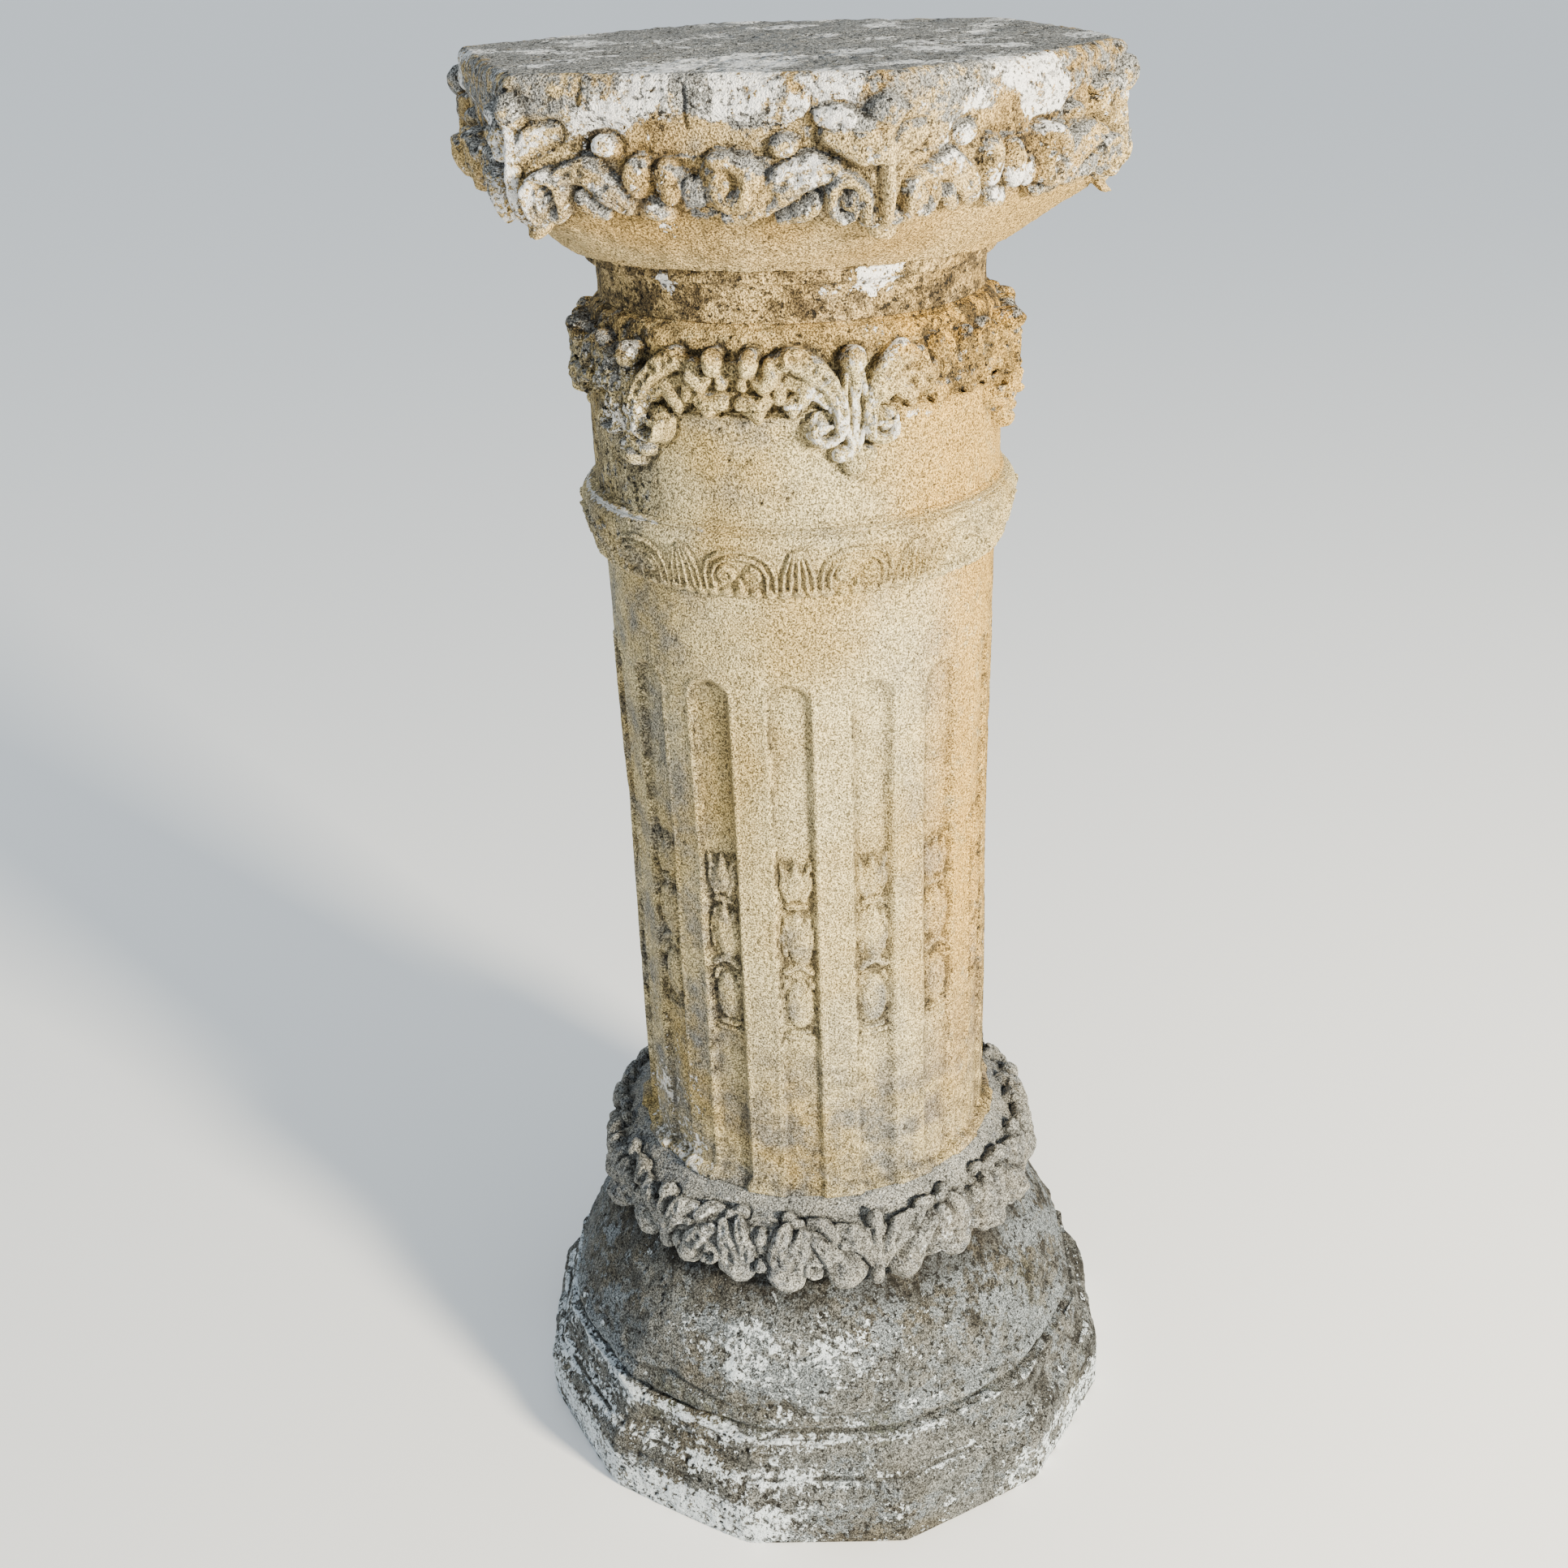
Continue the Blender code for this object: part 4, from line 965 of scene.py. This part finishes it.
class Tree:
    """Short ways to add nodes to a material."""

    def __init__(self, name):
        self.material = bpy.data.materials.new(name)
        self.material.use_nodes = True
        self.tree = self.material.node_tree
        self.shader = self.tree.nodes["Principled BSDF"]
        self.place = self.node("TexCoord").outputs["Object"]

    def node(self, kind, **settings):
        made = self.tree.nodes.new("ShaderNode" + kind)
        for key, value in settings.items():
            setattr(made, key, value)
        return made

    def put(self, socket, value):
        if isinstance(value, bpy.types.NodeSocket):
            self.tree.links.new(value, socket)
        else:
            socket.default_value = (*value, 1.0) if socket.type == "RGBA" else value

    def math(self, operation, a, b, clamp=False):
        made = self.node("Math", operation=operation, use_clamp=clamp)
        self.put(made.inputs[0], a)
        self.put(made.inputs[1], b)
        return made.outputs[0]

    def times(self, a, b):
        return self.math("MULTIPLY", a, b)

    def plus(self, a, b, clamp=False):
        return self.math("ADD", a, b, clamp)

    def minus(self, a, b):
        return self.math("SUBTRACT", a, b)

    def noise(self, scale, detail=2.0, rough=0.5, stretch=None):
        place = self.place
        if stretch:
            mapped = self.node("Mapping")
            self.put(mapped.inputs["Vector"], place)
            mapped.inputs["Scale"].default_value = stretch
            place = mapped.outputs[0]
        made = self.node("TexNoise")
        self.put(made.inputs["Vector"], place)
        for key, number in (("Scale", scale), ("Detail", detail), ("Roughness", rough)):
            self.put(made.inputs[key], number)
        return made.outputs["Fac"]

    def ramp(self, value, low, high, start=0.0, end=1.0):
        made = self.node("MapRange", interpolation_type="SMOOTHSTEP")
        self.put(made.inputs["Value"], value)
        for key, number in (("From Min", low), ("From Max", high), ("To Min", start), ("To Max", end)):
            self.put(made.inputs[key], number)
        return made.outputs["Result"]

    def mix(self, share, a, b, blend="MIX"):
        made = self.node("Mix", data_type="RGBA", blend_type=blend)
        self.put(made.inputs["Factor"], share)
        self.put(made.inputs["A"], a)
        self.put(made.inputs["B"], b)
        return made.outputs["Result"]

    def attribute(self, name):
        made = self.node("Attribute", attribute_name=name)
        split = self.node("SeparateColor")
        self.put(split.inputs[0], made.outputs["Color"])
        return (*split.outputs, made.outputs["Alpha"])


def concrete(name, cream, ochre, grey, dirt_and_shade, white, crust, growth, growth_edge, flake):
    """Sandy cast concrete: soft stains, sand grains, lichen, moss, dark pits and remains of paint, with
    painted shade in hollows and under parts and a painted highlight on raised parts.
    """
    t = Tree(name)
    cavity, paint, lichen, pit_and_shade = t.attribute("wear_and_shade")
    stain, moss, dark, raised_highlight = t.attribute("tone_and_shading")
    broad = t.noise(9.0, 4.0)
    middle = t.noise(38.0, 5.0, 0.6)
    colour = t.mix(t.ramp(broad, 0.38, 0.62), ochre, cream)
    colour = t.mix(t.times(t.ramp(middle, 0.34, 0.68), stain), colour, grey)
    # Painted highlight: raised parts are mixed towards cream.
    colour = t.mix(t.times(raised_highlight, 0.4), colour, cream)
    grown = t.times(moss, t.ramp(t.noise(90.0, 5.0, 0.7), *growth_edge))
    colour = t.mix(grown, colour, growth)
    # Darkening from the dark mask: stains, and painted shade in hollows and under parts.
    stains_and_shade = t.times(dark, t.ramp(t.noise(70.0, 5.0, 0.7), 0.4, 0.58))
    colour = t.mix(t.times(stains_and_shade, 0.88), colour, dirt_and_shade)
    fleck = t.noise(120.0, 5.0, 0.7)
    crusted = t.ramp(t.plus(fleck, t.times(lichen, 0.4)), 0.66, 0.8)
    colour = t.mix(crusted, colour, crust)
    grain = t.noise(900.0, 1.5, 0.7)
    coarse = t.noise(640.0, 2.0, 0.6)
    sand, coarse_sand = t.ramp(grain, 0.36, 0.64, 0.28, 1.78), t.ramp(coarse, 0.36, 0.64, 0.72, 1.28)
    colour = t.mix(1.0, colour, t.times(sand, coarse_sand), "MULTIPLY")
    speck = t.ramp(t.noise(520.0, 3.0, 0.7, (1.0, 1.0, 0.92)), 0.4, 0.33)
    colour = t.mix(t.times(speck, 0.75), colour, dirt_and_shade)
    large_flakes = t.times(t.noise(70.0, 7.0, 0.75), 1.0 - flake)
    small_flakes = t.times(t.noise(230.0, 4.0, 0.7), flake)
    edge = t.plus(large_flakes, small_flakes)
    need = t.minus(0.8, t.times(paint, 0.5))
    coat = t.ramp(t.minus(edge, need), -0.004, 0.014)
    coat = t.times(coat, t.ramp(cavity, 0.75, 0.35))
    coat = t.times(coat, t.ramp(t.noise(330.0, 3.0, 0.65), 0.37, 0.45))
    colour = t.mix(t.times(coat, 0.94), colour, white)
    # Painted shade and dirt in hollows, and dirt in pits.
    deep = t.plus(t.times(cavity, 0.55), pit_and_shade, clamp=True)
    deep = t.times(deep, t.ramp(middle, 0.3, 0.6, 0.5, 1.0))
    colour = t.mix(t.times(deep, 0.9), colour, dirt_and_shade)
    hole = t.ramp(t.noise(260.0, 3.0, 0.65, (1.0, 1.0, 1.1)), 0.42, 0.37)
    hole = t.times(hole, t.plus(lichen, dark, clamp=True))
    colour = t.mix(t.times(hole, 0.92), colour, BLACK_PIT)
    t.put(t.shader.inputs["Base Color"], colour)
    t.put(t.shader.inputs["Roughness"], t.minus(0.96, t.times(coat, 0.14)))
    t.shader.inputs["Specular IOR Level"].default_value = 0.2
    height = t.plus(t.times(grain, 1.3), t.times(coarse, 0.25))
    height = t.plus(height, t.times(coat, 0.3))
    sunk = t.plus(t.times(speck, 0.5), t.times(hole, 1.3))
    height = t.minus(height, sunk)
    bump = t.node("Bump")
    bump.inputs["Strength"].default_value = 1.0
    bump.inputs["Distance"].default_value = 0.0016
    t.put(bump.inputs["Height"], height)
    t.put(t.shader.inputs["Normal"], bump.outputs[0])
    return t.material


def make_object():
    """The seven pieces. Each line: name, outline with first and last row, relief, columns of the mesh, the
    share of them that the far side keeps, and material."""
    capital_mat = concrete("capital_weathered", **CAPITAL_LOOK)
    shaft_mat = concrete("shaft_weathered", **SHAFT_LOOK)
    foot_mat = concrete("foot_weathered", **FOOT_LOOK)
    collar_mat = concrete("collar_weathered", **COLLAR_LOOK)
    foot, shaft = foot_outline(), shaft_outline()
    capital = capital_outline(shaft.points[-1][1] + JOINT_GAP)
    collar_end, flutes_end, ring_end = shaft.cuts
    foot_end, drum_end, crown_end = (len(o.points) - 1 for o in (foot, shaft, capital))
    neck_end, = capital.cuts
    of_foot = ("foot", "foot_concrete", (FOOT_SIDES, FOOT_SOFTNESS))
    of_shaft = ("shaft", "shaft_concrete", (CORNERS, CAPITAL_SOFTNESS))
    of_capital = ("capital", "capital_concrete", (CORNERS, CAPITAL_SOFTNESS))
    for name, solid, outline, first, last, relief_of, count, share, material in (
            ("foot_body", of_foot, foot, 0, foot_end, foot_relief, 680, 0.55, foot_mat),
            ("leaf_collar", of_shaft, shaft, 0, collar_end, collar_relief, 800, 0.6, collar_mat),
            ("fluted_shaft", of_shaft, shaft, collar_end, flutes_end, flute_relief, 420, 0.65, shaft_mat),
            ("carved_ring", of_shaft, shaft, flutes_end, ring_end, band_relief, 860, 0.65, shaft_mat),
            ("garland_drum", of_shaft, shaft, ring_end, drum_end, drum_relief, 740, 0.55, shaft_mat),
            ("capital_neck", of_capital, capital, 0, neck_end, neck_relief, 460, 0.6, capital_mat),
            ("capital_crown", of_capital, capital, neck_end, crown_end, crown_relief, 600, 0.5, capital_mat)):
        node, slot, plan_of = solid
        make_piece(name, node, slot, outline, first, last, plan_of, relief_of, count, share, material)


def make_stage():
    floor_mesh = bpy.data.meshes.new("floor")
    corners = [(x * FLOOR_REACH, y * FLOOR_REACH, 0) for x, y in ((-1, -1), (1, -1), (1, 1), (-1, 1))]
    floor_mesh.from_pydata(corners, [], [(0, 1, 2, 3)])
    floor = placed("floor", floor_mesh)
    pale = bpy.data.materials.new("pale_floor")
    pale.use_nodes = True
    shader = pale.node_tree.nodes["Principled BSDF"]
    shader.inputs["Base Color"].default_value = FLOOR_COLOUR
    shader.inputs["Roughness"].default_value = FLOOR_ROUGHNESS
    floor_mesh.materials.append(pale)
    world = bpy.data.worlds.new("studio")
    world.use_nodes = True
    sky = world.node_tree.nodes["Background"]
    sky.inputs["Color"].default_value = SKY_COLOUR
    sky.inputs["Strength"].default_value = SKY_STRENGTH
    bpy.context.scene.world = world
    lamp = bpy.data.lights.new("key", "AREA")
    lamp.shape = "SQUARE"
    lamp.size, lamp.energy, lamp.color = KEY_SIZE, KEY_WATTS, KEY_COLOUR
    key = placed("key", lamp)
    key.location = KEY_PLACE
    key.rotation_euler = (Vector(KEY_AIM) - Vector(KEY_PLACE)).to_track_quat("-Z", "Y").to_euler()


def make_camera():
    lens = bpy.data.cameras.new("photo_view")
    lens.sensor_fit = "HORIZONTAL"
    lens.sensor_width = SENSOR_MM
    lens.lens = LENS_MM
    lens.clip_end = CLIP_END
    camera = placed("photo_view", lens)
    turn = Matrix((CAMERA_RIGHT, CAMERA_UP, -Vector(CAMERA_FORWARD))).transposed().to_4x4()
    camera.matrix_world = Matrix.Translation(CAMERA_PLACE) @ turn
    bpy.context.scene.camera = camera


make_object()
make_stage()
make_camera()
bpy.context.view_layer.update()
